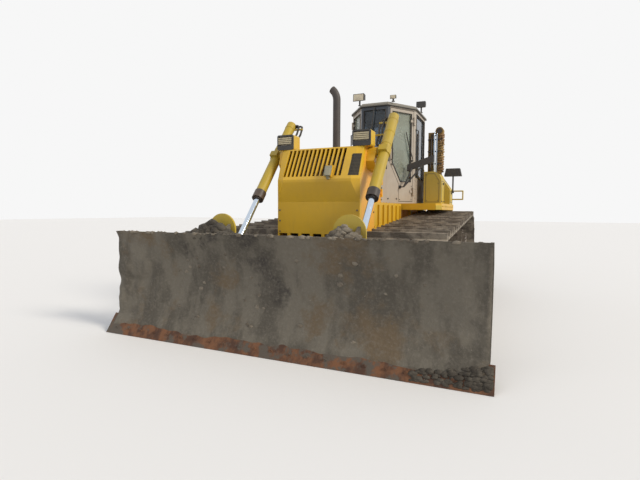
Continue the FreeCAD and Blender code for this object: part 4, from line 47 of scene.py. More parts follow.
# Main places of the machine in metres, -Y is forward and +X its left side
machine = {
    "frontY": -2.75,
    "bladeRadius": 0.98, "bladeCurveY": -3.4737, "bladeCurveZ": 0.6628, "bladeHalf": 1.985, "bladeTop": 1.135,
    "trackX": 1.025, "shoeHalf": 0.4575, "idlerY": -1.23, "idlerZ": 0.575, "sprocketY": 2.02,
    "sprocketZ": 0.81, "levelEndY": 1.61, "chainRadius": 0.44, "shoeCount": 46, "shoeTop": 0.072,
    "cabFrontY": 0.81, "cabCornerY": 1.34, "cabRearY": 2.21, "cabFrontHalf": 0.22, "cabSide": 0.565,
    "cabFloor": 1.5, "cabRoof": 3.15, "roofLow": 3.088,
    "cowlFrontY": 0.67, "cowlHalf": 0.128, "cowlTop": 2.06,
    "hoodHalf": 0.468, "hoodDeck": 1.49, "hoodTop": 2.11, "hoodFrontHalf": 0.44, "hoodRearHalf": 0.165,
    "hoodTopRearY": 0.662, "hoodRearY": 0.802, "guardRearY": -0.905,
    "maskHalf": 0.53, "maskTop": 2.125, "maskFootY": -1.48, "maskTopY": -1.335, "maskLipZ": 1.74,
    "noseLowY": -1.5255, "noseTopY": -1.3505,
    "armY": 0.2, "armZ": 0.44,
    "liftX": 0.721, "pinY": -1.173, "pinZ": 2.06, "liftUpY": 0.6495, "liftUpZ": 0.7604, "barrelRadius": 0.064,
    "fenderOuter": 1.09, "fenderFrontY": 0.85, "fenderRearY": 2.45,
    "tankFrontY": 2.238, "tankRearY": 2.568, "tankTop": 2.13,
}
bothSigns = ((1, "left"), (-1, "right"))


# Shader groups: each one gives colours, masks or heights only

def newGroup(name, inputs, outputs):
    # a colour first, then colours (tuples) and numbers by name
    group = bpy.data.node_groups.new(name, "ShaderNodeTree")
    for label, value in {"Color": (1, 1, 1, 1), **inputs}.items():
        kind = "Color" if isinstance(value, tuple) else "Float"
        socket = group.interface.new_socket(name=label, in_out="INPUT", socket_type="NodeSocket" + kind)
        socket.default_value = value
    for label in outputs:
        kind = "Color" if label == "Color" else "Float"
        group.interface.new_socket(name=label, in_out="OUTPUT", socket_type="NodeSocket" + kind)
    return group, group.nodes.new("NodeGroupInput").outputs, addCoords(group)


def endGroup(group, **values):
    end = group.nodes.new("NodeGroupOutput")
    for label, value in values.items():
        group.links.new(value, end.inputs[label])
    return group


def addNode(tree, kind, **values):
    node = tree.nodes.new("ShaderNode" + kind)
    for key, value in values.items():
        setInput(tree, node, key, value)
    return node


def setInput(tree, node, key, value):
    # a number or colour is set, a socket is linked
    if isinstance(value, (int, float, tuple)):
        node.inputs[key].default_value = value
    else:
        tree.links.new(value, node.inputs[key])


def addCoords(tree):
    return addNode(tree, "TexCoord").outputs["Object"]


def addMath(tree, operation, first, second=0.0, clamp=False):
    node = tree.nodes.new("ShaderNodeMath")
    node.operation = operation
    node.use_clamp = clamp
    for index, value in enumerate((first, second)):
        setInput(tree, node, index, value)
    return node.outputs[0]


def plus(tree, first, second, clamp=False):
    return addMath(tree, "ADD", first, second, clamp)


def times(tree, first, second, clamp=False):
    return addMath(tree, "MULTIPLY", first, second, clamp)


def addMix(tree, mask, first, second):
    node = tree.nodes.new("ShaderNodeMix")
    node.data_type = "RGBA"
    for index, value in ((0, mask), (6, first), (7, second)):
        setInput(tree, node, index, value)
    return node.outputs[2]


def addRange(tree, value, low, high, toLow=0.0, toHigh=1.0):
    node = tree.nodes.new("ShaderNodeMapRange")
    node.interpolation_type = "SMOOTHSTEP"
    for index, item in enumerate((value, low, high, toLow, toHigh)):
        setInput(tree, node, index, item)
    return node.outputs[0]


def addNoise(tree, coords, scale, detail=6.0, roughness=0.6):
    node = addNode(tree, "TexNoise", Vector=coords, Scale=scale, Detail=detail, Roughness=roughness)
    return node.outputs["Fac"]


def addStretch(tree, coords, scale):
    return addNode(tree, "Mapping", Vector=coords, Scale=scale).outputs[0]


def addSplit(tree, vector, axis):
    return addNode(tree, "SeparateXYZ", Vector=vector).outputs[axis]


def makeDustGroup():
    group, start, coords = newGroup("dustVeil", {"Dust Color": (0.3, 0.25, 0.19, 1), "Amount": 0.5,
                                                 "Scale": 3.0}, ("Color", "Mask"))
    upward = addRange(group, addSplit(group, addNode(group, "NewGeometry").outputs["Normal"], "Z"), 0.1, 0.95)
    patches = addRange(group, addNoise(group, coords, start["Scale"], 8.0, 0.65), 0.38, 0.68)
    lying = plus(group, times(group, upward, 0.75), 0.25)
    mask = times(group, times(group, patches, lying), start["Amount"], True)
    return endGroup(group, Color=addMix(group, mask, start["Color"], start["Dust Color"]), Mask=mask)


def makeMudGroup():
    group, start, coords = newGroup("mudSplash", {"Mud Color": (0.2, 0.16, 0.12, 1), "Low": 0.6, "High": 1.6,
                                                  "Scale": 4.0}, ("Color", "Mask", "Height"))
    level = addRange(group, addSplit(group, coords, "Z"), start["Low"], start["High"], 1.0, 0.0)
    cloud = addNoise(group, coords, start["Scale"], 9.0, 0.62)
    fine = addNoise(group, coords, 42.0, 5.0, 0.7)
    rough = plus(group, times(group, cloud, 0.8), times(group, fine, 0.2))
    mask = addRange(group, plus(group, times(group, level, 1.15), rough), 0.98, 1.16)
    shade = addMix(group, addRange(group, fine, 0.3, 0.7), start["Mud Color"], (0.33, 0.27, 0.2, 1))
    mixed = addMix(group, 0.45, start["Mud Color"], shade)
    return endGroup(group, Color=addMix(group, mask, start["Color"], mixed), Mask=mask,
                    Height=times(group, mask, rough))


def makeWearGroup():
    group, start, coords = newGroup("paintWear", {"Bare Color": (0.12, 0.07, 0.045, 1), "Amount": 0.3,
                                                  "Scale": 9.0}, ("Color", "Mask", "Height"))
    stretch = addStretch(group, coords, (1.0, 1.0, 0.22))
    run = addNoise(group, stretch, times(group, start["Scale"], 2.4), 6.0, 0.6)
    chips = addNoise(group, coords, start["Scale"], 10.0, 0.72)
    limit = addMath(group, "SUBTRACT", 0.78, times(group, start["Amount"], 0.28))
    mask = addRange(group, chips, limit, plus(group, limit, 0.035))
    streak = times(group, addRange(group, run, 0.5, 0.78), start["Amount"])
    darker = addMix(group, 0.55, start["Color"], start["Bare Color"])
    stained = addMix(group, streak, start["Color"], darker)
    return endGroup(group, Color=addMix(group, mask, stained, start["Bare Color"]), Mask=mask,
                    Height=times(group, mask, -1.0))


def makeToneGroup():
    group, start, coords = newGroup("toneDrift", {"Second Color": (1, 1, 1, 1), "Scale": 1.5, "Amount": 0.6},
                                    ("Color", "Mask"))
    cloud = addNoise(group, coords, start["Scale"], 5.0, 0.55)
    mask = times(group, addRange(group, cloud, 0.34, 0.66), start["Amount"], True)
    return endGroup(group, Color=addMix(group, mask, start["Color"], start["Second Color"]), Mask=mask)


shaderGroups = {"dust": makeDustGroup(), "mud": makeMudGroup(), "wear": makeWearGroup(),
                "tone": makeToneGroup()}


def useGroup(tree, key, colour, **values):
    node = tree.nodes.new("ShaderNodeGroup")
    node.node_tree = shaderGroups[key]
    for label, value in {"Color": colour, **values}.items():
        setInput(tree, node, label.replace("_", " "), value)
    return node.outputs


materials = {}


def newMaterial(name):
    materials[name] = bpy.data.materials.new(name)
    materials[name].use_nodes = True
    tree = materials[name].node_tree
    return tree, addCoords(tree)


def setShader(tree, height=None, strength=0.0, distance=0.0, **values):
    # sets or links the shader's inputs, and its bump if there is a height
    shader = tree.nodes["Principled BSDF"]
    for label, value in values.items():
        setInput(tree, shader, label.replace("_", " "), value)
    if height is not None:
        bump = addNode(tree, "Bump", Height=height, Strength=strength, Distance=distance)
        tree.links.new(bump.outputs[0], shader.inputs["Normal"])


# What every finish shares: tones of dust and mud, size of the patches, depth of the bump
dirt = {"dust": (0.34, 0.28, 0.20, 1), "mud": (0.19, 0.15, 0.11, 1), "dustScale": 3.2, "mudScale": 5.0,
        "toneScale": 1.7, "toneAmount": 0.75, "wearScale": 7.0, "dullest": 0.9, "depth": 0.012}

# Finishes: colour, second tone, wear, dust, lowest and highest edge of the mud, roughness, bump
finishes = {
    "yellowPaint": ((0.68, 0.40, 0.012), (0.56, 0.33, 0.02), 0.2, 0.12, (0.55, 1.25), 0.46, 0.25),
    # yellow paint tinted amber as painted warm sunlight, the look of the sunlit side; its wear, dust and mud
    # are real
    "amberLitPaint": ((0.76, 0.37, 0.03), (0.64, 0.33, 0.05), 0.35, 0.4, (0.85, 1.32), 0.5, 0.3),
    "fadedPaint": ((0.52, 0.37, 0.035), (0.43, 0.32, 0.06), 0.28, 0.28, (0.5, 1.3), 0.5, 0.25),
    "barrelPaint": ((0.42, 0.29, 0.016), (0.34, 0.245, 0.03), 0.28, 0.2, (0.5, 1.3), 0.5, 0.25),
    "framePaint": ((0.34, 0.20, 0.035), (0.18, 0.12, 0.06), 0.6, 0.8, (0.75, 1.55), 0.7, 0.7),
    "creamPaint": ((0.40, 0.355, 0.295), (0.34, 0.285, 0.225), 0.2, 0.35, (1.0, 1.7), 0.5, 0.2),
    "darkTrim": ((0.022, 0.022, 0.025), (0.05, 0.046, 0.04), 0.0, 0.35, (0.5, 1.0), 0.6, 0.15),
    "darkPipe": ((0.035, 0.032, 0.032), (0.075, 0.055, 0.045), 0.3, 0.25, (0.4, 0.9), 0.62, 0.35),
    "engineIron": ((0.10, 0.085, 0.06), (0.05, 0.045, 0.04), 0.2, 0.6, (0.9, 1.4), 0.7, 0.5),
    "roofPaint": ((0.15, 0.14, 0.115), (0.24, 0.22, 0.18), 0.1, 0.2, (0.5, 1.0), 0.6, 0.2),
    # yellow paint tinted deep orange as painted warm sunset light on the platform; its wear, dust and mud are
    # real
    "orangeLitPaint": ((0.72, 0.26, 0.025), (0.55, 0.22, 0.04), 0.3, 0.35, (0.7, 1.15), 0.5, 0.25),
    "blueTrim": ((0.018, 0.026, 0.040), (0.035, 0.045, 0.06), 0.0, 0.18, (0.5, 1.0), 0.35, 0.1),
    "rubberHose": ((0.016, 0.016, 0.017), (0.035, 0.032, 0.03), 0.0, 0.25, (0.3, 0.8), 0.72, 0.15),
    "ruddyHose": ((0.20, 0.10, 0.05), (0.33, 0.22, 0.06), 0.3, 0.35, (0.3, 0.8), 0.8, 0.5),
    "greasySteel": ((0.028, 0.020, 0.016), (0.075, 0.045, 0.028), 0.2, 0.12, (0.3, 0.8), 0.42, 0.4),
    "greyCover": ((0.33, 0.31, 0.20), (0.24, 0.23, 0.16), 0.15, 0.35, (0.4, 0.9), 0.5, 0.15),
    "lampShell": ((0.66, 0.42, 0.03), (0.52, 0.36, 0.05), 0.22, 0.3, (0.5, 1.0), 0.42, 0.15),
}


def buildFinish(name, colour, second, wear, dust, mud, rough, bump):
    tree = newMaterial(name)[0]
    toned = useGroup(tree, "tone", (*colour, 1), Second_Color=(*second, 1), Scale=dirt["toneScale"],
                     Amount=dirt["toneAmount"])
    worn = useGroup(tree, "wear", toned["Color"], Amount=wear, Scale=dirt["wearScale"])
    dusty = useGroup(tree, "dust", worn["Color"], Amount=dust, Scale=dirt["dustScale"],
                     Dust_Color=dirt["dust"])
    muddy = useGroup(tree, "mud", dusty["Color"], Low=mud[0], High=mud[1], Scale=dirt["mudScale"],
                     Mud_Color=dirt["mud"])
    dull = plus(tree, dusty["Mask"], muddy["Mask"], True)
    dulled = plus(tree, rough, times(tree, dull, dirt["dullest"] - rough), True)
    height = plus(tree, muddy["Height"], times(tree, worn["Height"], 0.06))
    setShader(tree, height, bump, dirt["depth"], Base_Color=muddy["Color"], Roughness=dulled)


def buildBladeMud():
    tree, coords = newMaterial("bladeMud")
    strips = addNoise(tree, addStretch(tree, coords, (1.9, 1.0, 0.8)), 2.2, 4.0, 0.55)
    patches = addNoise(tree, addStretch(tree, coords, (0.9, 1.0, 0.9)), 2.1, 7.0, 0.6)
    grain = addNoise(tree, coords, 34.0, 8.0, 0.72)
    grey = addMix(tree, addRange(tree, strips, 0.4, 0.6), (0.084, 0.073, 0.056, 1), (0.148, 0.130, 0.100, 1))
    brown = addMix(tree, addRange(tree, patches, 0.52, 0.66), grey, (0.13, 0.094, 0.056, 1))
    damp = addMix(tree, addRange(tree, patches, 0.42, 0.3), brown, (0.045, 0.038, 0.031, 1))
    edge = plus(tree, addSplit(tree, coords, "Z"), times(tree, strips, 0.12))
    rusty = addMix(tree, addRange(tree, edge, 0.17, 0.10), damp, (0.13, 0.06, 0.03, 1))
    speckled = addMix(tree, times(tree, addRange(tree, grain, 0.45, 0.7), 0.4), rusty, (0.21, 0.185, 0.15, 1))
    height = plus(tree, times(tree, patches, 1.6), grain)
    setShader(tree, height, 0.8, 0.012, Base_Color=speckled, Roughness=0.93)


def buildEdgeSteel():
    tree, coords = newMaterial("edgeSteel")
    runs = addNoise(tree, addStretch(tree, coords, (1.0, 1.0, 0.3)), 9.0, 6.0, 0.65)
    patches = addNoise(tree, coords, 5.0, 8.0, 0.65)
    grain = addNoise(tree, coords, 60.0, 6.0, 0.7)
    rust = addMix(tree, addRange(tree, runs, 0.38, 0.62), (0.062, 0.027, 0.014, 1), (0.17, 0.072, 0.03, 1))
    caked = addMix(tree, addRange(tree, patches, 0.5, 0.58), rust, (0.088, 0.071, 0.054, 1))
    setShader(tree, plus(tree, patches, grain), 0.6, 0.006, Base_Color=caked, Roughness=0.82)


def buildTrackSteel(name, bright):
    tree, coords = newMaterial(name)
    patches = addNoise(tree, coords, 6.0, 8.0, 0.62)
    grain = addNoise(tree, coords, 48.0, 7.0, 0.7)
    mud = addMix(tree, addRange(tree, patches, 0.42, 0.6), (0.13, 0.108, 0.084, 1), (0.30, 0.255, 0.195, 1))
    bare = addMix(tree, addRange(tree, grain, 0.4, 0.6), (0.075, 0.055, 0.042, 1), (0.15, 0.125, 0.10, 1))
    mask = addRange(tree, plus(tree, patches, times(tree, grain, 0.35)), bright, bright + 0.1)
    height = plus(tree, times(tree, patches, 1.4), grain)
    setShader(tree, height, 0.9, 0.01, Base_Color=addMix(tree, mask, mud, bare),
              Roughness=addRange(tree, mask, 0.0, 1.0, 0.95, 0.5), Metallic=times(tree, mask, 0.5))


def buildDriedMud(name, shade):
    tree, coords = newMaterial(name)
    patches = addNoise(tree, coords, 7.0, 8.0, 0.62)
    grain = addNoise(tree, coords, 55.0, 7.0, 0.72)
    dark, pale, speck = [(*(part * shade for part in tone), 1) for tone in
                         ((0.14, 0.115, 0.085), (0.27, 0.23, 0.175), (0.36, 0.315, 0.25))]
    colour = addMix(tree, addRange(tree, patches, 0.4, 0.62), dark, pale)
    speckled = addMix(tree, times(tree, addRange(tree, grain, 0.5, 0.7), 0.45), colour, speck)
    setShader(tree, plus(tree, patches, grain), 0.9, 0.01, Base_Color=speckled, Roughness=0.95)


def buildGlass(name, colour, dullest, clear):
    tree, coords = newMaterial(name)
    haze = addNoise(tree, coords, 5.0, 7.0, 0.6)
    setShader(tree, Base_Color=colour, Roughness=addRange(tree, haze, 0.35, 0.7, 0.03, dullest),
              Transmission_Weight=clear, IOR=1.45)


def buildChrome():
    tree, coords = newMaterial("chromeRod")
    smear = addNoise(tree, coords, 14.0, 6.0, 0.6)
    # the blue-white base colour is a painted reflection of blue sky; the brownish smears are real grime
    colour = addMix(tree, addRange(tree, smear, 0.62, 0.8), (0.56, 0.64, 0.74, 1), (0.36, 0.33, 0.29, 1))
    setShader(tree, Base_Color=colour, Metallic=0.95, Roughness=addRange(tree, smear, 0.5, 0.8, 0.10, 0.35))


def buildCloth():
    tree, coords = newMaterial("seatCloth")
    weave = addNode(tree, "TexWave", Vector=coords, Scale=90.0, Distortion=1.5).outputs["Fac"]
    worn = addNoise(tree, coords, 6.0, 6.0, 0.6)
    colour = addMix(tree, addRange(tree, worn, 0.4, 0.65), (0.03, 0.03, 0.034, 1), (0.085, 0.08, 0.072, 1))
    setShader(tree, weave, 0.25, 0.002, Base_Color=colour, Roughness=0.9, Sheen_Weight=0.25)


def buildLens(name, colour):
    tree, coords = newMaterial(name)
    ribs = addNode(tree, "TexWave", Vector=coords, Scale=26.0, Distortion=0.0).outputs["Fac"]
    dirt = addNoise(tree, coords, 16.0, 6.0, 0.6)
    dusty = addMix(tree, addRange(tree, dirt, 0.45, 0.75), colour, (0.30, 0.25, 0.18, 1))
    setShader(tree, ribs, 0.2, 0.003, Base_Color=dusty, Roughness=0.3, Coat_Weight=0.4)


def buildVentMesh():
    tree, coords = newMaterial("ventMesh")
    masks = []
    for axis, pitch in (("X", 0.0135), ("Z", 0.017)):
        turns = times(tree, addSplit(tree, coords, axis), 2 * math.pi / pitch)
        masks.append(addRange(tree, addMath(tree, "SINE", turns), 0.62, 0.95))
    wires = addMath(tree, "MAXIMUM", *masks)
    dirt = addNoise(tree, coords, 18.0, 5.0, 0.6)
    wire = addMix(tree, dirt, (0.05, 0.042, 0.03, 1), (0.12, 0.095, 0.05, 1))
    # the gaps between the wires are painted near black as painted shade of the hollow behind the screen; the
    # wires' dirt is real
    colour = addMix(tree, wires, (0.008, 0.007, 0.006, 1), wire)
    setShader(tree, wires, 0.8, 0.003, Base_Color=colour, Roughness=0.8)


for name, row in finishes.items():
    buildFinish(name, *row)
buildBladeMud()
buildEdgeSteel()
for name, bright in (("trackSteel", 0.86), ("wornSteel", 0.62)):
    buildTrackSteel(name, bright)
for name, shade in (("driedMud", 0.8), ("darkMud", 0.34)):
    buildDriedMud(name, shade)
buildGlass("windowGlass", (0.24, 0.30, 0.36, 1), 0.10, 0.94)
buildGlass("doorGlass", (0.45, 0.48, 0.39, 1), 0.3, 0.6)
buildChrome()
buildCloth()
for name, colour in (("lampLens", (0.58, 0.50, 0.34, 1)), ("lampSlat", (0.50, 0.42, 0.25, 1))):
    buildLens(name, colour)
buildVentMesh()
print("materials ready")

nodeFinish = {
    "bladeMud": ["moldboard", "blade_frame", "ball_sockets", "blade_end_plates"],
    "edgeSteel": ["cutting_edge", "end_bits"],
    "trackSteel": ["track_left", "track_right", "track_rollers", "carrier_rollers"],
    "wornSteel": ["idlers", "sprockets"],
    "framePaint": ["main_frame", "drawbar", "final_drives", "track_frame_left", "track_frame_right",
                   "push_arm_left", "push_arm_right", "brace_left", "rear_mast"],
    "yellowPaint": ["radiator_mask", "hood", "cylinder_yoke_left", "cylinder_yoke_right", "fenders",
                    "fuel_tank"],
    # the amber-lit finish paints warm sunlight into the guard, the hood doors and the plates and bolts that
    # share it
    "amberLitPaint": ["radiator_guard", "hood_door_left", "hood_door_right"],
    "fadedPaint": ["rod_guards", "side_boxes", "handrails"],
    "barrelPaint": ["tilt_cylinder", "lift_cylinder_left", "lift_cylinder_right"],
    "creamPaint": ["cab_shell", "cab_door_left", "cab_door_right", "cab_floor"],
    "roofPaint": ["cab_roof"],
    "darkTrim": ["lamp_guards", "dash_console", "roof_lamps", "tail_lamps", "door_mirror_left",
                 "door_mirror_right"],
    "darkPipe": ["radiator", "exhaust_pipe"],
    "engineIron": ["engine_block"],
    "lampShell": ["front_lamps"],
    "lampLens": ["lamp_lenses"],
    "windowGlass": ["cab_glass"],
    "doorGlass": ["door_glass_left", "door_glass_right"],
    # the platform's orange is painted sunset light over its yellow paint
    "orangeLitPaint": ["cab_platform"],
    "chromeRod": ["tilt_rod", "lift_rod_left", "lift_rod_right"],
    "seatCloth": ["seat"],
}
for finish, names in nodeFinish.items():
    for name in names:
        nodes[name].data.materials.clear()
        nodes[name].data.materials.append(materials[finish])


# Small modelling helpers

def newPiece(name, bm):
    # an object of its own from what bm holds
    mesh = bpy.data.meshes.new(name)
    bm.to_mesh(mesh)
    bm.free()
    piece = bpy.data.objects.new(name, mesh)
    bpy.context.collection.objects.link(piece)
    return piece


def finishPiece(name, bm, finish, body="root", smooth=False):
    piece = newPiece(name, bm)
    for face in piece.data.polygons:
        face.use_smooth = smooth
    piece.data.materials.append(materials[finish])
    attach(piece, body)


def addBox(bm, low, high, bevel=0.0, turn=Matrix()):
    low, high = Vector(low), Vector(high)
    place = Matrix.Translation((low + high) / 2) @ turn
    made = bmesh.ops.create_cube(bm, size=1.0, matrix=place @ Matrix.Diagonal((*(high - low), 1.0)))
    if bevel:
        edges = list({edge for vert in made["verts"] for edge in vert.link_edges})
        bmesh.ops.bevel(bm, geom=edges, offset=bevel, segments=2, affect="EDGES", profile=0.5, material=-1)


def addSideBox(bm, sign, across, along, up, bevel=0.0, turn=Matrix()):
    # a box between two distances from the middle on one side, two Y and two Z
    spans = (sorted((sign * across[0], sign * across[1])), along, up)
    addBox(bm, [span[0] for span in spans], [span[1] for span in spans], bevel, turn)


def addBlock(bm, middle, half, bevel=0.0, turn=Matrix()):
    addBox(bm, Vector(middle) - Vector(half), Vector(middle) + Vector(half), bevel, turn)


def endOn(start, axis):
    # from the start, with Z along the axis
    return Matrix.Translation(start) @ axis.to_track_quat("Z", "Y").to_matrix().to_4x4()


def addBar(bm, start, end, radius, sides=12, endRadius=None):
    start, end = Vector(start), Vector(end)
    bmesh.ops.create_cone(bm, cap_ends=True, segments=sides, radius1=radius,
                          radius2=radius if endRadius is None else endRadius, depth=(end - start).length,
                          matrix=endOn((start + end) / 2, end - start))


def addRing(bm, start, end, inner, outer, sides=32):
    start, axis = Vector(start), Vector(end) - Vector(start)
    loops = []
    for radius, up in ((inner, 0), (outer, 0), (outer, axis.length), (inner, axis.length)):
        place = endOn(start, axis) @ Matrix.Translation((0, 0, up))
        loops.append(bmesh.ops.create_circle(bm, segments=sides, radius=radius, matrix=place)["verts"])
    for number, near in enumerate(loops):
        far = loops[(number + 1) % 4]
        for step in range(sides):
            after = (step + 1) % sides
            bm.faces.new((near[step], near[after], far[after], far[step]))


def addBolt(bm, place, direction, radius=0.014, height=0.012):
    place, direction = Vector(place), Vector(direction).normalized()
    addBar(bm, place - direction * 0.002, place + direction * height, radius, 6)


def addSweep(bm, points, radius, sides=8, closed=False):
    points = [Vector(point) for point in points]
    count = len(points)
    rings = []
    for k, point in enumerate(points):
        before = points[(k - 1) % count] if closed or k else point
        after = points[(k + 1) % count] if closed or k < count - 1 else point
        ring = bmesh.ops.create_circle(bm, cap_ends=not closed and k in (0, count - 1), segments=sides,
                                       radius=radius, matrix=endOn(point, after - before))
        rings.append(list({edge for vert in ring["verts"] for edge in vert.link_edges}))
    pairs = list(zip(rings, rings[1:])) + ([(rings[-1], rings[0])] if closed else [])
    for first, second in pairs:
        bmesh.ops.bridge_loops(bm, edges=first + second)
    bmesh.ops.recalc_face_normals(bm, faces=bm.faces[:])


def addLump(bm, place, size, squash=(1, 1, 0.6), detail=2, roughness=0.35):
    made = bmesh.ops.create_icosphere(bm, subdivisions=detail, radius=1.0)
    shift = Vector((rng.uniform(0, 90), rng.uniform(0, 90), rng.uniform(0, 90)))
    for vert in made["verts"]:
        swell = 1 + roughness * noise.noise(vert.co * 1.7 + shift)
        swell += roughness * 0.5 * noise.noise(vert.co * 4 + shift)
        vert.co = Vector(a * b for a, b in zip(vert.co * swell * size, squash)) + Vector(place)


def addSheet(bm, columns, rows, place):
    # a grid whose points go where place puts them for -1 to 1 across and 0 to 1 up, facing forward
    made = bmesh.ops.create_grid(bm, x_segments=columns, y_segments=rows, size=1.0)
    for vert in made["verts"]:
        vert.co = place(vert.co.x, (vert.co.y + 1) / 2)
    bmesh.ops.recalc_face_normals(bm, faces=bm.faces[:])
    if sum(face.normal.y for face in bm.faces) > 0:
        bmesh.ops.reverse_faces(bm, faces=bm.faces[:])


def ringSpots(count, radius, turn=0.0):
    # pairs of offsets round a circle
    bends = [2 * math.pi * (number + turn) / count for number in range(count)]
    return [(radius * math.cos(bend), radius * math.sin(bend)) for bend in bends]


def bothSides(bm):
    # the same on the right side
    copy = bmesh.ops.duplicate(bm, geom=bm.verts[:] + bm.edges[:] + bm.faces[:])["geom"]
    verts = [item for item in copy if isinstance(item, bmesh.types.BMVert)]
    faces = [item for item in copy if isinstance(item, bmesh.types.BMFace)]
    bmesh.ops.scale(bm, vec=(-1, 1, 1), verts=verts)
    bmesh.ops.reverse_faces(bm, faces=faces)


def bladeFace(z):
    # Y of the moldboard's face at a height
    rise = z - machine["bladeCurveZ"]
    return machine["bladeCurveY"] + math.sqrt(machine["bladeRadius"] ** 2 - rise * rise)


def trackPath():
    # straight runs and arcs of the chain's pitch line, in the plane of one track
    centres = [Vector((0, machine["idlerY"], machine["idlerZ"])),
               Vector((0, machine["sprocketY"], machine["sprocketZ"])),
               Vector((0, machine["levelEndY"], machine["idlerZ"]))]
    pieces = []
    for k in range(3):
        here, there, last = centres[k], centres[(k + 1) % 3], centres[(k + 2) % 3]
        along = (there - here).normalized()
        outward = Vector((0, -along.z, along.y))
        nextAlong = (last - there).normalized()
        bend = math.acos(max(-1, min(1, along.dot(nextAlong))))
        pieces.append(("run", here + outward * machine["chainRadius"], along, outward, (there - here).length))
        pieces.append(("arc", there, along, outward, machine["chainRadius"] * bend))
    return pieces


trackPieces = trackPath()
trackLength = sum(piece[4] for piece in trackPieces)


def trackPoint(share):
    # centre on the pitch line, outward direction and way ahead at a share of the chain's length
    distance = (share % 1.0) * trackLength
    for kind, base, along, outward, length in trackPieces:
        if distance <= length:
            if kind == "run":
                return base + along * distance, outward, along
            bend = distance / machine["chainRadius"]
            facing = outward * math.cos(bend) + along * math.sin(bend)
            ahead = along * math.cos(bend) - outward * math.sin(bend)
            return base + facing * machine["chainRadius"], facing, ahead
        distance -= length
    return trackPoint(0)


# Tracks: bolts, chain pins, hub bolts and mud

trackLook = {"boltRadius": 0.015, "boltApart": 0.075, "pinRadius": 0.03, "pinHalf": 0.125, "clods": 150,
             "clodSize": (0.018, 0.06), "muddyShare": 0.56, "hubBolts": 14, "pivotBolts": 8}


def buildTrackBolts():
    bm = bmesh.new()
    for number in range(machine["shoeCount"]):
        centre, outward, ahead = trackPoint((number + 0.5) / machine["shoeCount"])
        for side in (-1, 1):
            for along in (-0.055, 0.0):
                spot = centre + outward * machine["shoeTop"] + ahead * along
                spot.x = machine["trackX"] + side * trackLook["boltApart"]
                addBolt(bm, spot, outward, trackLook["boltRadius"], 0.01)
    bothSides(bm)
    finishPiece("shoeBolts", bm, "wornSteel")


def buildChainPins():
    bm = bmesh.new()
    for number in range(machine["shoeCount"]):
        centre = trackPoint(number / machine["shoeCount"])[0]
        centre.x = machine["trackX"]
        reach = Vector((trackLook["pinHalf"], 0, 0))
        addBar(bm, centre - reach, centre + reach, trackLook["pinRadius"], 10)
    bothSides(bm)
    finishPiece("chainPins", bm, "wornSteel")


def buildTrackMud():
    for side, label in ((1, "Left"), (-1, "Right")):
        bm = bmesh.new()
        for number in range(trackLook["clods"]):
            centre, outward = trackPoint(rng.uniform(0.0, trackLook["muddyShare"]))[:2]
            size = rng.uniform(*trackLook["clodSize"])
            spot = centre + outward * (machine["shoeTop"] + size * 0.15)
            spot.x = side * (machine["trackX"] + rng.uniform(-0.93, 0.93) * machine["shoeHalf"] * 0.95)
            spot.z = max(spot.z, size)
            addLump(bm, spot, size, (1.2, 1.0, 0.5), 1 if size < 0.035 else 2)
        finishPiece("trackMud" + label, bm, "driedMud", smooth=True)


def buildHubs():
    bm = bmesh.new()
    hub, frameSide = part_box("sprockets")[1].x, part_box("track_frame_left")[1].x
    sprocket, pivot = (machine["sprocketY"], machine["sprocketZ"]), (machine["armY"], machine["armZ"])
    # middle, X, bolts, radius of their circle, size of a bolt
    for (y, z), x, count, ring, bolt in (
        (sprocket, hub, trackLook["hubBolts"], 0.155, (0.013, 0.014)),
        (sprocket, hub - 0.055, trackLook["hubBolts"], 0.215, (0.013, 0.014)),
        (pivot, frameSide, trackLook["pivotBolts"], 0.08, (0.012, 0.012)),
    ):
        for along, up in ringSpots(count, ring):
            addBolt(bm, (x, y + along, z + up), (1, 0, 0), *bolt)
    bothSides(bm)
    finishPiece("hubBolts", bm, "wornSteel")


buildTrackBolts()
buildChainPins()
buildTrackMud()
buildHubs()
print("tracks dressed")


# Blade: mud crusts, lumps, clods, soil heaps and edge bolts

bladeLook = {"crustColumns": 230, "crustRows": 66, "crustLow": 0.2, "crustDepth": 0.013,
             "cakeRight": (0.108, 0.9), "cakeLeft": (0.055, 0.5), "cakeHalf": 0.46,
             "edgeCrustColumns": 220, "edgeCrustRows": 14, "edgeCrustLow": 0.07, "edgeCrustHigh": 0.235,
             "edgeCrustDepth": 0.007, "edgeTop": 0.195, "edgeHeight": 0.193, "edgeBolts": 22,
             "topLumps": 90, "faceLumps": 70, "clods": 150,
             "heapY": -2.475, "heapHalf": 0.085, "heapFoot": 1.10}


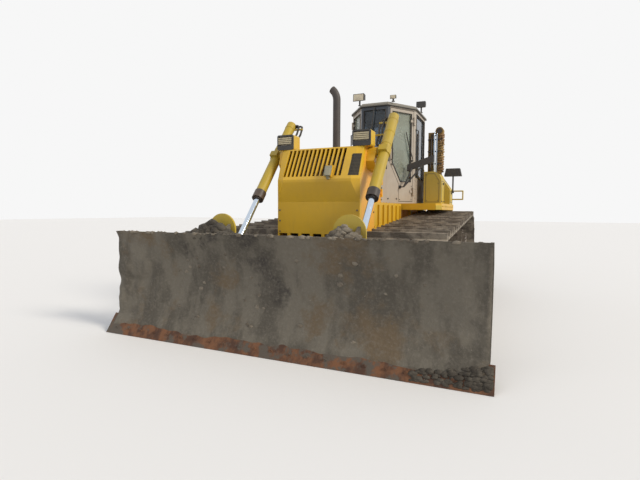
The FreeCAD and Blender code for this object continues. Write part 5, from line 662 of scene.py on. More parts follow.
def buildBladeCrust():
    bm = bmesh.new()
    low, high, half = bladeLook["crustLow"], machine["bladeTop"] - 0.004, machine["bladeHalf"] - 0.006

    def place(across, up):
        x, z = across * half, low + up * (high - low)
        spot = Vector((x * 1.5, 0, z * 1.5))
        rough = noise.fractal(spot * 1.4, 1.0, 2.0, 4) * 0.6 + noise.fractal(spot * 7.0, 1.0, 2.1, 4) * 0.35
        strip = 0.25 * math.sin(x * 9.0 + 1.5 * noise.noise(Vector((x, z, 3))))
        rise = bladeLook["crustDepth"] * (rough + strip * 0.6 + 0.15)
        border = min(1.0, (half - abs(x)) / 0.05, (high - z) / 0.05 + 0.3)
        # caked mud, given by its depth and reach, fills the curve towards the blade's ends
        deep, reach = bladeLook["cakeLeft"] if x > 0 else bladeLook["cakeRight"]
        near = max(0.0, 1 - (half - abs(x)) / reach)
        bow = max(0.0, 1 - ((z - machine["bladeCurveZ"]) / bladeLook["cakeHalf"]) ** 2)
        cake = deep * bow * near * near * (3 - 2 * near) * (1 + 0.5 * noise.fractal(spot * 2.2, 1.0, 2.0, 3))
        cake *= min(1.0, (half - abs(x)) / 0.012)
        return Vector((x, bladeFace(z) - max(-0.004, rise * border) - cake, z))

    addSheet(bm, bladeLook["crustColumns"], bladeLook["crustRows"], place)
    finishPiece("bladeCrust", bm, "bladeMud", "blade", True)


def edgeFace(z):
    # Y of the cutting edge's face, level with the moldboard above it
    high = bladeLook["edgeTop"]
    top = bladeFace(high)
    return top + (machine["frontY"] - top) * (high - min(z, high)) / bladeLook["edgeHeight"]


def buildEdgeCrust():
    bm = bmesh.new()
    low, high, half = bladeLook["edgeCrustLow"], bladeLook["edgeCrustHigh"], machine["bladeHalf"] - 0.01

    def place(across, up):
        x, z = across * half, low + up * (high - low)
        foot = 0.105 + 0.035 * noise.noise(Vector((x * 1.7, 0, 5)))
        foot += 0.02 * noise.noise(Vector((x * 8, 0, 9)))
        rough = noise.fractal(Vector((x * 5, z * 5, 1)), 1.0, 2.0, 4)
        rise = bladeLook["edgeCrustDepth"] * (1 + 0.7 * rough) * min(1.0, (z - foot) / 0.02)
        rise *= min(1.0, (half - abs(x)) / 0.03, (high - z) / 0.02)
        face = edgeFace(z) if z < bladeLook["edgeTop"] else bladeFace(z)
        return Vector((x, face - max(-0.006, rise), z))

    addSheet(bm, bladeLook["edgeCrustColumns"], bladeLook["edgeCrustRows"], place)
    finishPiece("edgeCrust", bm, "bladeMud", "blade", True)


def buildClods():
    bm = bmesh.new()
    half = machine["bladeHalf"]
    for number in range(bladeLook["clods"]):
        x = half + 0.03 - 0.62 * rng.uniform(0, 1) ** 1.5
        z = rng.uniform(0.015, 0.17) * (1 - max(0.0, half - x) * 0.9)
        size = rng.uniform(0.010, 0.034)
        spot = (min(x, half + 0.036 - size * 1.4), max(edgeFace(z), machine["frontY"] + size), max(z, size))
        addLump(bm, spot, size, (1.2, 0.7, 0.75))
    finishPiece("bladeClods", bm, "darkMud", "blade", True)


def buildBladeLumps():
    bm = bmesh.new()
    half, top = machine["bladeHalf"], machine["bladeTop"]
    for number in range(bladeLook["topLumps"]):
        x = rng.uniform(-1, 1) * (half - 0.06)
        size = rng.uniform(0.008, 0.026)
        addLump(bm, (x, bladeFace(top) + rng.uniform(0.0, 0.03), top - 0.006), size, (1.6, 1.0, 0.8), 1)
    for number in range(bladeLook["faceLumps"]):
        x = rng.uniform(-1, 1) * (half - 0.1)
        z = rng.uniform(0.16, 0.95)
        size = rng.uniform(0.008, 0.03)
        addLump(bm, (x, bladeFace(z) + 0.004, z), size, (1.5, 0.5, 1.2), 1)
    finishPiece("bladeLumps", bm, "driedMud", "blade", True)


def buildHeaps():
    # side, middle, width, height, lumps, smallest and largest lump, finish
    for label, x, wide, high, count, sizes, finish in (
        ("Left", 0.71, 0.19, 0.155, 90, (0.022, 0.05), "driedMud"),
        ("Right", -0.75, 0.33, 0.165, 120, (0.03, 0.07), "darkMud"),
    ):
        bm = bmesh.new()
        for number in range(count):
            away = rng.uniform(0, 1) ** 0.7
            bend = rng.uniform(0, 2 * math.pi)
            size = rng.uniform(*sizes)
            spot = Vector((x + wide * away * math.cos(bend),
                           bladeLook["heapY"] + bladeLook["heapHalf"] * away * math.sin(bend), 0))
            spot.z = bladeLook["heapFoot"] + max(0.0, (1 - away) * high * rng.uniform(0.55, 1.0) - size * 0.3)
            addLump(bm, spot, size, (1.1, 0.8, 0.75))
        finishPiece("heap" + label, bm, finish, "blade", True)


def buildEdgeBolts():
    bm = bmesh.new()
    z, reach = 0.06, 1.9
    for number in range(bladeLook["edgeBolts"]):
        x = -reach + 2 * reach * number / (bladeLook["edgeBolts"] - 1)
        addBar(bm, (x, edgeFace(z) - 0.009, z), (x, edgeFace(z) + 0.006, z), 0.018, 10)
    finishPiece("edgeBolts", bm, "edgeSteel", "blade")


buildBladeCrust()
buildBladeLumps()
buildHeaps()
buildEdgeBolts()
buildEdgeCrust()
buildClods()
print("blade dressed")


# Lift cylinders: hoses, greasy glands, bands, pipes and caps

liftLook = {"hoseRadius": 0.0135, "hoseApart": 0.02, "pipeRadius": 0.009, "glandLow": -0.722,
            "glandHigh": -0.61, "barrelTop": 0.65, "rodRadius": 0.035, "bolts": 8,
            "bands": (0.12, 0.33, 0.56)}


def cylinderPoint(side, up, front=0.0, inward=0.0):
    # a point up the cylinder's line from its pin, in front of that line, and towards the machine's middle
    return Vector((side * (machine["liftX"] - inward),
                   machine["pinY"] + machine["liftUpY"] * up - machine["liftUpZ"] * front,
                   machine["pinZ"] + machine["liftUpZ"] * up + machine["liftUpY"] * front))


def buildLiftDress():
    radius, top = machine["barrelRadius"], liftLook["barrelTop"]
    low, high = liftLook["glandLow"], liftLook["glandHigh"]
    for side, label in bothSigns:
        body = "lift_cylinder_" + label
        bm = bmesh.new()
        for number, out in ((0, 0.05), (1, 0.095)):
            inward = radius + out
            # along the cylinder, behind its line, inward
            rows = ((top - 0.03, 0.01, radius * 0.6), (top - 0.005, 0.01, inward - 0.03),
                    (top - 0.015, 0.015, inward - 0.008), (top - 0.06, 0.02, inward + 0.004),
                    (top - 0.16, 0.03, inward + 0.008), (top - 0.30, 0.035, inward - 0.012),
                    (top - 0.42, 0.035, inward - 0.006), (0.19, 0.03, inward - 0.03),
                    (0.13, 0.02, radius * 0.9))
            addSweep(bm, [cylinderPoint(side, up, -back - number * liftLook["hoseApart"], inner)
                          for up, back, inner in rows], liftLook["hoseRadius"], 10)
        finishPiece("liftHoses_" + label, bm, "rubberHose", body, True)
        bm = bmesh.new()
        for start, end, inner, outer, sides in ((low, high, 0.003, 1.13, 36),
                                                (low - 0.012, low, 0.002, 0.82, 30)):
            addRing(bm, cylinderPoint(side, start), cylinderPoint(side, end), liftLook["rodRadius"] + inner,
                    radius * outer, sides)
        down = (0, -machine["liftUpY"], -machine["liftUpZ"])
        for front, inward in ringSpots(liftLook["bolts"], radius * 0.93, 0.5):
            addBolt(bm, cylinderPoint(side, low, front, inward), down, 0.0075, 0.009)
        finishPiece("liftGlands_" + label, bm, "greasySteel", body)
        bm = bmesh.new()
        for up in liftLook["bands"]:
            addRing(bm, cylinderPoint(side, up - 0.012), cylinderPoint(side, up + 0.012), radius - 0.004,
                    radius * 1.05)
        pipe = ((top - 0.02, radius * 0.7), (top - 0.05, radius + 0.02), (0.16, radius + 0.02),
                (0.11, radius * 0.8))
        addSweep(bm, [cylinderPoint(side, up, -back) for up, back in pipe], liftLook["pipeRadius"])
        addBar(bm, cylinderPoint(side, top - 0.003), cylinderPoint(side, top + 0.012), radius * 0.86, 32,
               radius * 0.7)
        for up in (top - 0.07, top - 0.30):
            addBlock(bm, cylinderPoint(side, up, -0.03, radius + 0.055), (0.062, 0.012, 0.012), 0.004)
        finishPiece("liftBands_" + label, bm, "barrelPaint", body)


buildLiftDress()
print("lift cylinders dressed")


# Front: latch cover, vent screen, bolts, plates behind the guard, radiator cap, lamp slats and wiring

frontLook = {"latchX": 0.16, "latchHalf": 0.045, "latchLow": 1.76, "latchHigh": 1.905, "boltRadius": 0.011,
             "ventLow": 1.778, "ventHigh": 2.034, "capY": -1.05,
             "slats": 4, "slatPitch": 0.0214, "slatHalf": 0.0078, "slatY": -1.3632}


def noseFace(z):
    # Y of the mask's leaning front above its lip
    share = (z - machine["maskLipZ"]) / (machine["maskTop"] - machine["maskLipZ"])
    return machine["noseLowY"] + (machine["noseTopY"] - machine["noseLowY"]) * share


def maskFace(x, z):
    # Y of the mask's front above its lip, with the sloped corner
    share = (z - machine["maskLipZ"]) / (machine["maskTop"] - machine["maskLipZ"])
    corner = machine["maskHalf"] - 0.095 + 0.012 * share
    side = machine["maskFootY"] + (machine["maskTopY"] - machine["maskFootY"]) * share
    front = noseFace(z)
    return front + (side - front) * (max(0.0, x - corner) / (machine["maskHalf"] - corner))


def buildVentScreen():
    bm = bmesh.new()
    low, high = frontLook["ventLow"], frontLook["ventHigh"]

    def place(across, up):
        z = low + (high - low) * up
        x = 0.392 + 0.018 * up + (0.118 - 0.012 * up) * ((across + 1) / 2)
        return Vector((x, maskFace(x, z) - 0.0015, z))

    # a solid sheet whose near-black gaps are painted shade standing in for the hollow behind the slots
    addSheet(bm, 10, 12, place)
    bmesh.ops.solidify(bm, geom=bm.faces[:], thickness=0.0012)
    finishPiece("ventScreen", bm, "ventMesh")


def buildLatchCover():
    bm = bmesh.new()
    half, low, high = frontLook["latchHalf"], frontLook["latchLow"], frontLook["latchHigh"]
    lowY, highY = noseFace(low) - 0.056, noseFace(high) - 0.056
    lean = Matrix.Rotation(math.atan2(highY - lowY, high - low) * -1, 4, "X")
    middle = Vector((frontLook["latchX"], (lowY + highY) / 2, (low + high) / 2))
    for share, front, back, foot, head, bevel in ((1, -0.006, 0.004, -0.066, 0.066, 0.008),
                                                  (0.75, -0.02, -0.004, -0.062, 0.03, 0.009)):
        addBox(bm, middle + Vector((-half * share, front, foot)), middle + Vector((half * share, back, head)),
               bevel, lean)
    addBar(bm, middle + Vector((0, 0.012, -0.088)), middle + Vector((0, -0.014, -0.05)), 0.022, 16)
    finishPiece("latchCover", bm, "greyCover")


def buildFrontFittings():
    bolt, half = frontLook["boltRadius"], machine["maskHalf"]
    top, rear = machine["maskTop"], machine["guardRearY"]
    bm = bmesh.new()
    for z in (1.12, 1.25, 1.38):
        for x in (-0.5, 0.5):
            addBolt(bm, (x, machine["maskFootY"], z), (0, -1, 0), bolt, 0.008)
    for z in (1.15, 1.36, 1.57, 1.78, 1.99):
        for sign in (1, -1):
            addBolt(bm, (sign * half, rear - 0.04, z), (sign, 0, 0), bolt, 0.008)
    for x in (-0.3, -0.1, 0.1, 0.3):
        addBolt(bm, (x, rear - 0.03, top), (0, 0, 1), bolt, 0.007)
    finishPiece("frontBolts", bm, "wornSteel")
    # plates that close the guard's back beside and over the hood
    bm = bmesh.new()
    for sign in (-1, 1):
        addSideBox(bm, sign, (0.38, half - 0.006), (rear - 0.02, rear - 0.012),
                   (machine["hoodDeck"] - 0.4, top - 0.006))
    addBox(bm, (-0.38, rear - 0.02, 2.03), (0.38, rear - 0.012, top - 0.006))
    finishPiece("guardBack", bm, "amberLitPaint")
    bm = bmesh.new()
    y = frontLook["capY"]
    addBar(bm, (0, y, top), (0, y, top + 0.022), 0.055, 28)
    addBar(bm, (0, y, top + 0.022), (0, y, top + 0.034), 0.045, 28, 0.036)
    finishPiece("radiatorCap", bm, "darkTrim")
    bm = bmesh.new()
    for sign in (-1, 1):
        for number in range(frontLook["slats"]):
            z = top + 0.058 + frontLook["slatPitch"] * (number + 1)
            addSideBox(bm, sign, (0.404, 0.589), (frontLook["slatY"], frontLook["slatY"] + 0.002),
                       (z - frontLook["slatHalf"], z + frontLook["slatHalf"]), 0.0008)
    finishPiece("lampSlats", bm, "lampSlat")
    bm = bmesh.new()
    for sign in (-1, 1):
        for x in (0.41, 0.583):
            addBolt(bm, (sign * x, -1.25, top + 0.185), (0, 0, 1), 0.006, 0.006)
        wire = ((0.47, -1.172, 2.2), (0.47, -1.13, 2.2), (0.46, -1.10, 2.16), (0.46, -1.09, top + 0.002))
        addSweep(bm, [(sign * x, y, z) for x, y, z in wire], 0.007)
    finishPiece("lampWiring", bm, "rubberHose", smooth=True)


buildLatchCover()
buildFrontFittings()
buildVentScreen()
print("front dressed")


# Hood: door handles, bolts, lifting eyes, the clamp of the exhaust pipe, and what shows with a door open

hoodLook = {"handleRadius": 0.008, "handles": (1.62, 1.92), "boltPitch": 0.16, "sillZ": 1.17,
            "exhaust": (-0.15, -0.5)}
# face of the engine inside the hood's side, first cylinder along it, and lines from the pump to each cylinder
engineLook = {"face": -0.068, "start": 0.27, "pitch": 0.165, "cylinders": 6, "pumpPitch": 0.045,
              "lineRadius": 0.0048}


def hoodPoint(side, along, outward, z):
    # a point on the slanted side of the hood's upper body, from its front corner
    run = machine["hoodTopRearY"] - machine["guardRearY"]
    narrow = machine["hoodFrontHalf"] - machine["hoodRearHalf"]
    length = math.hypot(run, narrow)
    x = machine["hoodFrontHalf"] - narrow / length * along + run / length * outward
    y = machine["guardRearY"] + run / length * along + narrow / length * outward
    return Vector((side * x, y, z))


def buildEngineDress():
    face, pitch = engineLook["face"], engineLook["pitch"]
    starts = [engineLook["start"] + pitch * number for number in range(engineLook["cylinders"])]
    ends = starts[-1] + pitch * 0.8
    for label, side in (("Left", 1), ("Right", -1)):
        turn = Matrix.Rotation(math.atan2(machine["hoodFrontHalf"] - machine["hoodRearHalf"],
                                          machine["hoodTopRearY"] - machine["guardRearY"]) * side, 4, "Z")
        bm = bmesh.new()
        for along in starts:
            middle = along + pitch * 0.4
            addBlock(bm, hoodPoint(side, middle, face + 0.012, 1.875), (0.016, 0.064, 0.052), 0.008, turn)
            for z in (1.845, 1.905):
                addBolt(bm, hoodPoint(side, middle, face + 0.026, z), (side, 0, 0), 0.009, 0.008)
            addBar(bm, hoodPoint(side, middle, face + 0.002, 1.80),
                   hoodPoint(side, middle, face + 0.022, 1.74), 0.017, 14)
        addSweep(bm, [hoodPoint(side, along, face + 0.022, 1.735) for along in
                      (starts[0] + 0.02, (starts[0] + ends) / 2, ends - 0.02)], 0.026, 16)
        for along in (starts[0] + 0.06, starts[0] + 0.15):
            for low, high, radius in ((1.53, 1.665, 0.034), (1.665, 1.69, 0.027)):
                addBar(bm, hoodPoint(side, along, face + 0.012, low),
                       hoodPoint(side, along, face + 0.012, high), radius, 24)
        addBlock(bm, hoodPoint(side, starts[3] + 0.05, face + 0.014, 1.60), (0.02, 0.15, 0.045), 0.01, turn)
        finishPiece("engineDress" + label, bm, "engineIron")
        bm = bmesh.new()
        for number, along in enumerate(starts):
            pump, middle = starts[3] - 0.07 + engineLook["pumpPitch"] * number, along + pitch * 0.4
            rows = ((pump, 0.016, 1.64), (pump, 0.03, 1.675),
                    ((pump + along) / 2, 0.046, 1.70 + 0.006 * number),
                    (middle, 0.044, 1.79), (middle, 0.022, 1.835))
            addSweep(bm, [hoodPoint(side, reach, face + out, z) for reach, out, z in rows],
                     engineLook["lineRadius"], 6)
        finishPiece("engineLines" + label, bm, "wornSteel", smooth=True)


def buildHoodFittings():
    deck, top, half = machine["hoodDeck"], machine["hoodTop"], machine["hoodHalf"]
    for side, label in bothSigns:
        bm = bmesh.new()
        outward = hoodPoint(side, 0, 1, 0) - hoodPoint(side, 0, 0, 0)
        for z in hoodLook["handles"]:
            addSweep(bm, [hoodPoint(side, 0.12, out, z + up) for out, up in
                          ((0.0, -0.05), (0.03, -0.045), (0.03, 0.045), (0.0, 0.05))],
                     hoodLook["handleRadius"])
            addBolt(bm, hoodPoint(side, 0.19, 0.0, z), outward, 0.02, 0.008)
        finishPiece("hoodHandles_" + label, bm, "darkTrim", "hood_door_" + label)
    bm = bmesh.new()
    y = machine["guardRearY"] + 0.06
    while y < machine["hoodRearY"]:
        for sign in (-1, 1):
            addBolt(bm, (sign * (half - 0.012), y, deck), (0, 0, 1), 0.009, 0.007)
            addBolt(bm, (sign * half, y, hoodLook["sillZ"]), (sign, 0, 0), 0.011, 0.008)
        y += hoodLook["boltPitch"]
    for sign in (-1, 1):
        addSweep(bm, [(sign * x, y, top + up) for x, y, up in
                      ((0.2, -0.3, 0.001), (0.2, -0.3, 0.035), (0.17, -0.12, 0.035), (0.17, -0.12, 0.001))],
                 0.008)
    finishPiece("hoodBolts", bm, "amberLitPaint")
    bm = bmesh.new()
    x, y = hoodLook["exhaust"]
    addBar(bm, (x, y, top + 0.03), (x, y, top + 0.06), 0.058, 32)
    addBox(bm, (x - 0.01, y - 0.075, top + 0.032), (x + 0.01, y - 0.05, top + 0.058), 0.003)
    finishPiece("exhaustClamp", bm, "wornSteel")


buildHoodFittings()
buildEngineDress()
print("hood dressed")


# Cab: seals, dark front trim, wipers, door and wall fittings, seat and controls

cabLook = {"sealRadius": 0.011, "wiperRadius": 0.006, "wiperFoot": 3.06, "trimThick": 0.003,
           "frontSill": 2.078, "head": 3.032, "frontHalf": 0.185, "rearHalf": 0.425, "rearSill": 2.2,
           "sideSill": 1.96, "sideFront": 1.41, "sideRear": 2.14}


def diagonalPoint(sign, along, outward, z):
    # a point of the diagonal door wall, from its front corner
    run = machine["cabCornerY"] - machine["cabFrontY"]
    wide = machine["cabSide"] - machine["cabFrontHalf"]
    length = math.hypot(run, wide)
    x = machine["cabFrontHalf"] + wide / length * along + run / length * outward
    y = machine["cabFrontY"] + run / length * along - wide / length * outward
    return Vector((sign * x, y, z))


# corners of the door's pane and of its outer seam: along the diagonal wall, up
doorPane = [(0.112, 3.011), (0.534, 3.011), (0.534, 1.87), (0.302, 1.87), (0.112, 2.184)]
doorOutline = [(0.060, 3.062), (0.586, 3.062), (0.586, 1.540), (0.265, 1.540), (0.265, 1.83), (0.060, 2.17)]


def addSeal(bm, points, radius):
    addSweep(bm, points, radius, 6, True)


def buildSeals():
    bm = bmesh.new()
    seal, head = cabLook["sealRadius"], cabLook["head"]
    front, rear, side = machine["cabFrontY"], machine["cabRearY"], machine["cabSide"]
    for y, half, sill in ((front, cabLook["frontHalf"], cabLook["frontSill"]),
                          (rear, cabLook["rearHalf"], cabLook["rearSill"])):
        addSeal(bm, [(-half, y, sill), (half, y, sill), (half, y, head), (-half, y, head)], seal)
    sill, near, far = cabLook["sideSill"], cabLook["sideFront"], cabLook["sideRear"]
    for x in (-side, side):
        addSeal(bm, [(x, near, sill), (x, far, sill), (x, far, head), (x, near, head)], seal)
    ring = [(0.231, front - 0.02), (side + 0.021, machine["cabCornerY"] - 0.01), (side + 0.021, rear + 0.02)]
    ring += [(-x, y) for x, y in reversed(ring)]
    addSeal(bm, [(x, y, machine["roofLow"] + 0.004) for x, y in ring], 0.009)
    finishPiece("windowSeals", bm, "rubberHose")
    for sign, label in bothSigns:
        bm = bmesh.new()
        addSeal(bm, [diagonalPoint(sign, along, 0.0, z) for along, z in doorPane], seal)
        addSeal(bm, [diagonalPoint(sign, along, -0.02, z) for along, z in doorOutline], 0.0045)
        finishPiece("doorSeals_" + label, bm, "rubberHose", "cab_door_" + label)


def buildFrontTrim():
    bm = bmesh.new()
    edge, head, cowl = machine["cabFrontHalf"], cabLook["head"], machine["cowlTop"]
    depth = (machine["cabFrontY"] - cabLook["trimThick"], machine["cabFrontY"] + 0.001)
    eave = machine["roofLow"] - 0.002
    addBox(bm, (-edge, depth[0], head), (edge, depth[1], eave), 0.001)
    for sign in (-1, 1):
        addSideBox(bm, sign, (cabLook["frontHalf"], edge), depth, (cowl + 0.002, head), 0.001)
        first, last = diagonalPoint(sign, 0.001, 0.0, 0.0), diagonalPoint(sign, 0.05, 0.0, 0.0)
        way, low = last - first, cowl + 0.13
        addBlock(bm, (first + last) / 2 + Vector((0, 0, (low + eave) / 2)),
                 (way.length / 2, 0.0015, (eave - low) / 2), 0.0006,
                 Matrix.Rotation(math.atan2(way.y, way.x), 4, "Z"))
    finishPiece("frontTrim", bm, "blueTrim")


def addWiper(bm, foot, tip, outward, blade):
    # arm from its pivot to the middle of the blade, and the blade itself
    foot, tip, outward = Vector(foot), Vector(tip), Vector(outward).normalized()
    addBar(bm, foot, foot + outward * 0.03, 0.014, 14)
    addSweep(bm, [foot + outward * 0.026, foot + outward * 0.034 + (tip - foot) * 0.2, tip + outward * 0.022],
             cabLook["wiperRadius"])
    reach = (tip - foot).normalized() * blade / 2
    for out, radius, sides in ((0.014, 0.0065, 8), (0.006, 0.0035, 6)):
        addBar(bm, tip - reach + outward * out, tip + reach + outward * out, radius, sides)


def buildWipers():
    bm = bmesh.new()
    # Y, X of the pivot and of the tip, Z of the tip, way it faces, length of the blade
    for y, footX, tipX, z, way, blade in ((machine["cabFrontY"] - 0.002, 0.0, -0.06, 2.62, -1, 0.5),
                                          (machine["cabRearY"] + 0.002, 0.12, 0.05, 2.68, 1, 0.45)):
        addWiper(bm, (footX, y, cabLook["wiperFoot"]), (tipX, y, z), (0, way, 0), blade)
    finishPiece("windowWipers", bm, "darkTrim")


def buildDoorFittings(sign, label):
    # wiper, handle, lock, bolts, and the rods of the mirror with their foot
    bm = bmesh.new()
    outward = diagonalPoint(sign, 0, 1, 0) - diagonalPoint(sign, 0, 0, 0)
    addWiper(bm, diagonalPoint(sign, 0.558, 0.0, 2.23), diagonalPoint(sign, 0.47, 0.0, 2.50), outward, 0.42)
    addSweep(bm, [diagonalPoint(sign, 0.085, out, z) for out, z in
                  ((0.0, 2.22), (0.04, 2.23), (0.04, 2.40), (0.0, 2.41))], 0.008)
    addBar(bm, diagonalPoint(sign, 0.11, 0.0, 2.15), diagonalPoint(sign, 0.11, 0.018, 2.15), 0.017, 16)
    for along in (0.29, 0.56):
        for z in (1.57, 1.80):
            addBolt(bm, diagonalPoint(sign, along, 0.0, z), outward, 0.008, 0.005)
    bend = diagonalPoint(sign, 0.293, 0.092, 1.778)
    for reach in (Vector((sign * 0.566, 1.15, 2.10)), Vector((sign * 0.742, 1.15, 2.14))):
        addBar(bm, bend, bend + (reach - bend) * 0.97, 0.0125, 10)
    addBar(bm, diagonalPoint(sign, 0.293, 0.0005, 1.778), diagonalPoint(sign, 0.293, 0.012, 1.778), 0.026, 16)
    finishPiece("doorFittings_" + label, bm, "darkTrim", "cab_door_" + label)


def buildCabRails(sign, label):
    # pull rail behind the door, and bolts of the side wall, the cowl and the door's post
    bm = bmesh.new()
    x, y = sign * machine["cabSide"], 1.375
    out = x + sign * 0.045
    addSweep(bm, [(x, y, 2.0), (out, y, 2.01), (out, y, 2.75), (x, y, 2.76)], 0.011, 10)
    for z in (2.0, 2.76):
        addBar(bm, (x, y, z), (x + sign * 0.006, y, z), 0.024, 16)
    for along in (1.39, 2.17):
        for z in (1.6, 1.75, 1.9):
            addBolt(bm, (x, along, z), (sign, 0, 0), 0.008, 0.005)
    way = Vector((machine["cabFrontHalf"] - machine["cowlHalf"],
                  machine["cabFrontY"] - machine["cowlFrontY"], 0))
    for z in (1.56, 1.75, 1.94):
        spot = Vector((machine["cowlHalf"], machine["cowlFrontY"], z)) + way * 0.3
        addBolt(bm, (sign * spot.x, spot.y, z), (sign * way.y, -way.x, 0), 0.013, 0.007)
    outward = diagonalPoint(sign, 0, 1, 0) - diagonalPoint(sign, 0, 0, 0)
    for along in (0.03, 0.22):
        addBolt(bm, diagonalPoint(sign, along, 0.0, 1.58), outward, 0.014, 0.008)
    finishPiece("cabRails_" + label, bm, "darkTrim")


seatLook = {"voxel": 0.012, "pressure": 4.0, "cap": 0.016, "frames": 20, "seams": (-0.085, 0.085),
            "seamDepth": 0.007, "seamHalf": 0.012, "fill": 0.7, "bellows": 5}


def takeShape(piece):
    # puts the evaluated mesh in place of the piece's own
    shape = bpy.data.meshes.new_from_object(piece.evaluated_get(bpy.context.evaluated_depsgraph_get()))
    piece.modifiers.clear()
    piece.data = shape


def puffPad(name, low, high, across):
    # a stuffed pad that starts from a rounded box and is blown up by a short cloth run
    bm = bmesh.new()
    addBox(bm, low, high, 0.035)
    piece = newPiece(name, bm)
    remesh = piece.modifiers.new("even", "REMESH")
    remesh.mode = "VOXEL"
    remesh.voxel_size = seatLook["voxel"]
    takeShape(piece)
    before = [vert.co.copy() for vert in piece.data.vertices]
    cloth = piece.modifiers.new("stuffing", "CLOTH")
    cloth.settings.use_pressure = True
    cloth.settings.uniform_pressure_force = seatLook["pressure"]
    cloth.settings.effector_weights.gravity = 0
    for number in range(1, seatLook["frames"] + 1):
        bpy.context.scene.frame_set(number)
    takeShape(piece)
    bpy.context.scene.frame_set(1)
    for vert, start in zip(piece.data.vertices, before):
        move = vert.co - start
        if move.length > seatLook["cap"]:
            vert.co = start + move.normalized() * seatLook["cap"]
        for seam in seatLook["seams"]:
            pull = math.exp(-((vert.co.x - seam) / seatLook["seamHalf"]) ** 2) * seatLook["seamDepth"]
            vert.co = vert.co - vert.normal * pull * (1.0 if abs(vert.normal[across]) > 0.6 else 0.0)
    smooth = piece.modifiers.new("smooth", "SUBSURF")
    smooth.levels = smooth.render_levels = 1
    for face in piece.data.polygons:
        face.use_smooth = True
    piece.data.materials.append(materials["seatCloth"])
    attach(piece, "root")
    return piece


def buildSeat():
    seat = puffPad("seatCushion", (-0.232, 1.535, 1.80), (0.232, 1.93, 1.912), 2)
    rest = puffPad("seatRest", (-0.232, 1.925, 1.945), (0.232, 2.018, 2.53), 1)
    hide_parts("seat")
    bm = bmesh.new()
    addBox(bm, (-0.19, 1.58, 1.5005), (0.19, 2.02, 1.56), 0.008)
    for number in range(seatLook["bellows"]):
        grow = 0.012 * (number % 2)
        z = 1.56 + 0.036 * number
        addBox(bm, (-0.165 - grow, 1.61 - grow, z), (0.165 + grow, 1.99 + grow, z + 0.038), 0.012)
    addBox(bm, (-0.22, 1.55, 1.74), (0.22, 2.03, 1.795), 0.01)
    addBox(bm, (-0.21, 2.012, 1.80), (0.21, 2.033, 2.50), 0.01)
    for sign in (-1, 1):
        addSideBox(bm, sign, (0.252, 0.305), (1.60, 1.93), (1.98, 2.02), 0.014)
        addSideBox(bm, sign, (0.264, 0.293), (1.86, 1.91), (1.75, 1.985), 0.006)
    finishPiece("seatBase", bm, "darkTrim")


def buildControls():
    bm = bmesh.new()
    for sign in (-1, 1):
        x, pedal = sign * 0.31, sign * 0.085
        addSideBox(bm, sign, (0.245, 0.40), (1.36, 1.80), (1.5005, 1.86), 0.012)
        addBar(bm, (x, 1.47, 1.855), (x, 1.47, 1.90), 0.034, 20, 0.02)
        addBar(bm, (x, 1.47, 1.89), (x + 0.01, 1.455, 2.02), 0.009, 12)
        addBar(bm, (x + 0.01, 1.457, 2.0), (x + 0.014, 1.45, 2.11), 0.021, 18, 0.026)
        addBlock(bm, (pedal, 1.009, 1.65), (0.04, 0.009, 0.05), 0.005,
                 Matrix.Rotation(math.radians(-35), 4, "X"))
        addBar(bm, (pedal, 1.03, 1.502), (pedal, 1.01, 1.63), 0.009, 10)
    addBox(bm, (-0.15, 0.972, 2.24), (0.15, 1.13, 2.262), 0.006, Matrix.Rotation(math.radians(14), 4, "X"))
    finishPiece("cabControls", bm, "darkTrim")
    bm = bmesh.new()
    for x in (-0.095, 0.0, 0.095):
        for z in (2.16, 2.07):
            addBar(bm, (x, 1.1355, z), (x, 1.142, z), 0.034, 24)
    finishPiece("dashDials", bm, "greyCover")
    bm = bmesh.new()
    addBox(bm, (-0.24, 0.92, 1.5005), (0.24, 1.55, 1.508), 0.003)
    for number in range(11):
        addBlock(bm, (-0.2 + 0.04 * number, 1.235, 1.509), (0.006, 0.295, 0.002), 0.001)
    finishPiece("floorMat", bm, "rubberHose")


buildSeals()
buildFrontTrim()
buildWipers()
for sign, label in bothSigns:
    buildDoorFittings(sign, label)
    buildCabRails(sign, label)
buildSeat()
buildControls()
print("cab dressed")


# Platform and rear: box lids, mast pipes and hose, tank straps, lamp glasses, bolts, flaps and drawbar pin

rearLook = {"strapWidth": 0.05, "boltRadius": 0.011, "coilRadius": 0.022, "coilTurns": 15, "coilSteps": 8,
            "coilHeight": 0.68, "mastY": 2.1473, "mastClods": 14, "capBolts": 9, "flapLow": 1.27}


def buildBoxFittings():
    bm = bmesh.new()
    for sign in (-1, 1):
        # seam of a lid: X, two Y, two Z; and its latch: Y, Z
        for x, (front, rear, low, high), (y, z) in ((0.985, (1.60, 1.93, 1.54, 1.90), (1.74, 1.84)),
                                                    (1.08, (2.02, 2.33, 1.54, 1.74), (2.15, 1.69))):
            addSeal(bm, [(sign * x, front, low), (sign * x, rear, low), (sign * x, rear, high),
                         (sign * x, front, high)], 0.0045)
            addSideBox(bm, sign, (x, x + 0.014), (y, y + 0.05), (z, z + 0.035), 0.003)
        for y in (1.63, 1.90):
            addBar(bm, (sign * 0.989, y - 0.03, 1.55), (sign * 0.989, y + 0.03, 1.55), 0.008, 10)
        front = 1.555
        addSeal(bm, [(sign * x, front, z) for x, z in
                     ((0.72, 1.54), (0.95, 1.54), (0.95, 1.9), (0.87, 2.03), (0.72, 2.03))], 0.004)
        for x, z in ((0.74, 1.56), (0.93, 1.56), (0.93, 1.86), (0.74, 2.01)):
            addBolt(bm, (sign * x, front, z), (0, -1, 0), 0.007, 0.005)
    finishPiece("boxFittings", bm, "darkTrim")


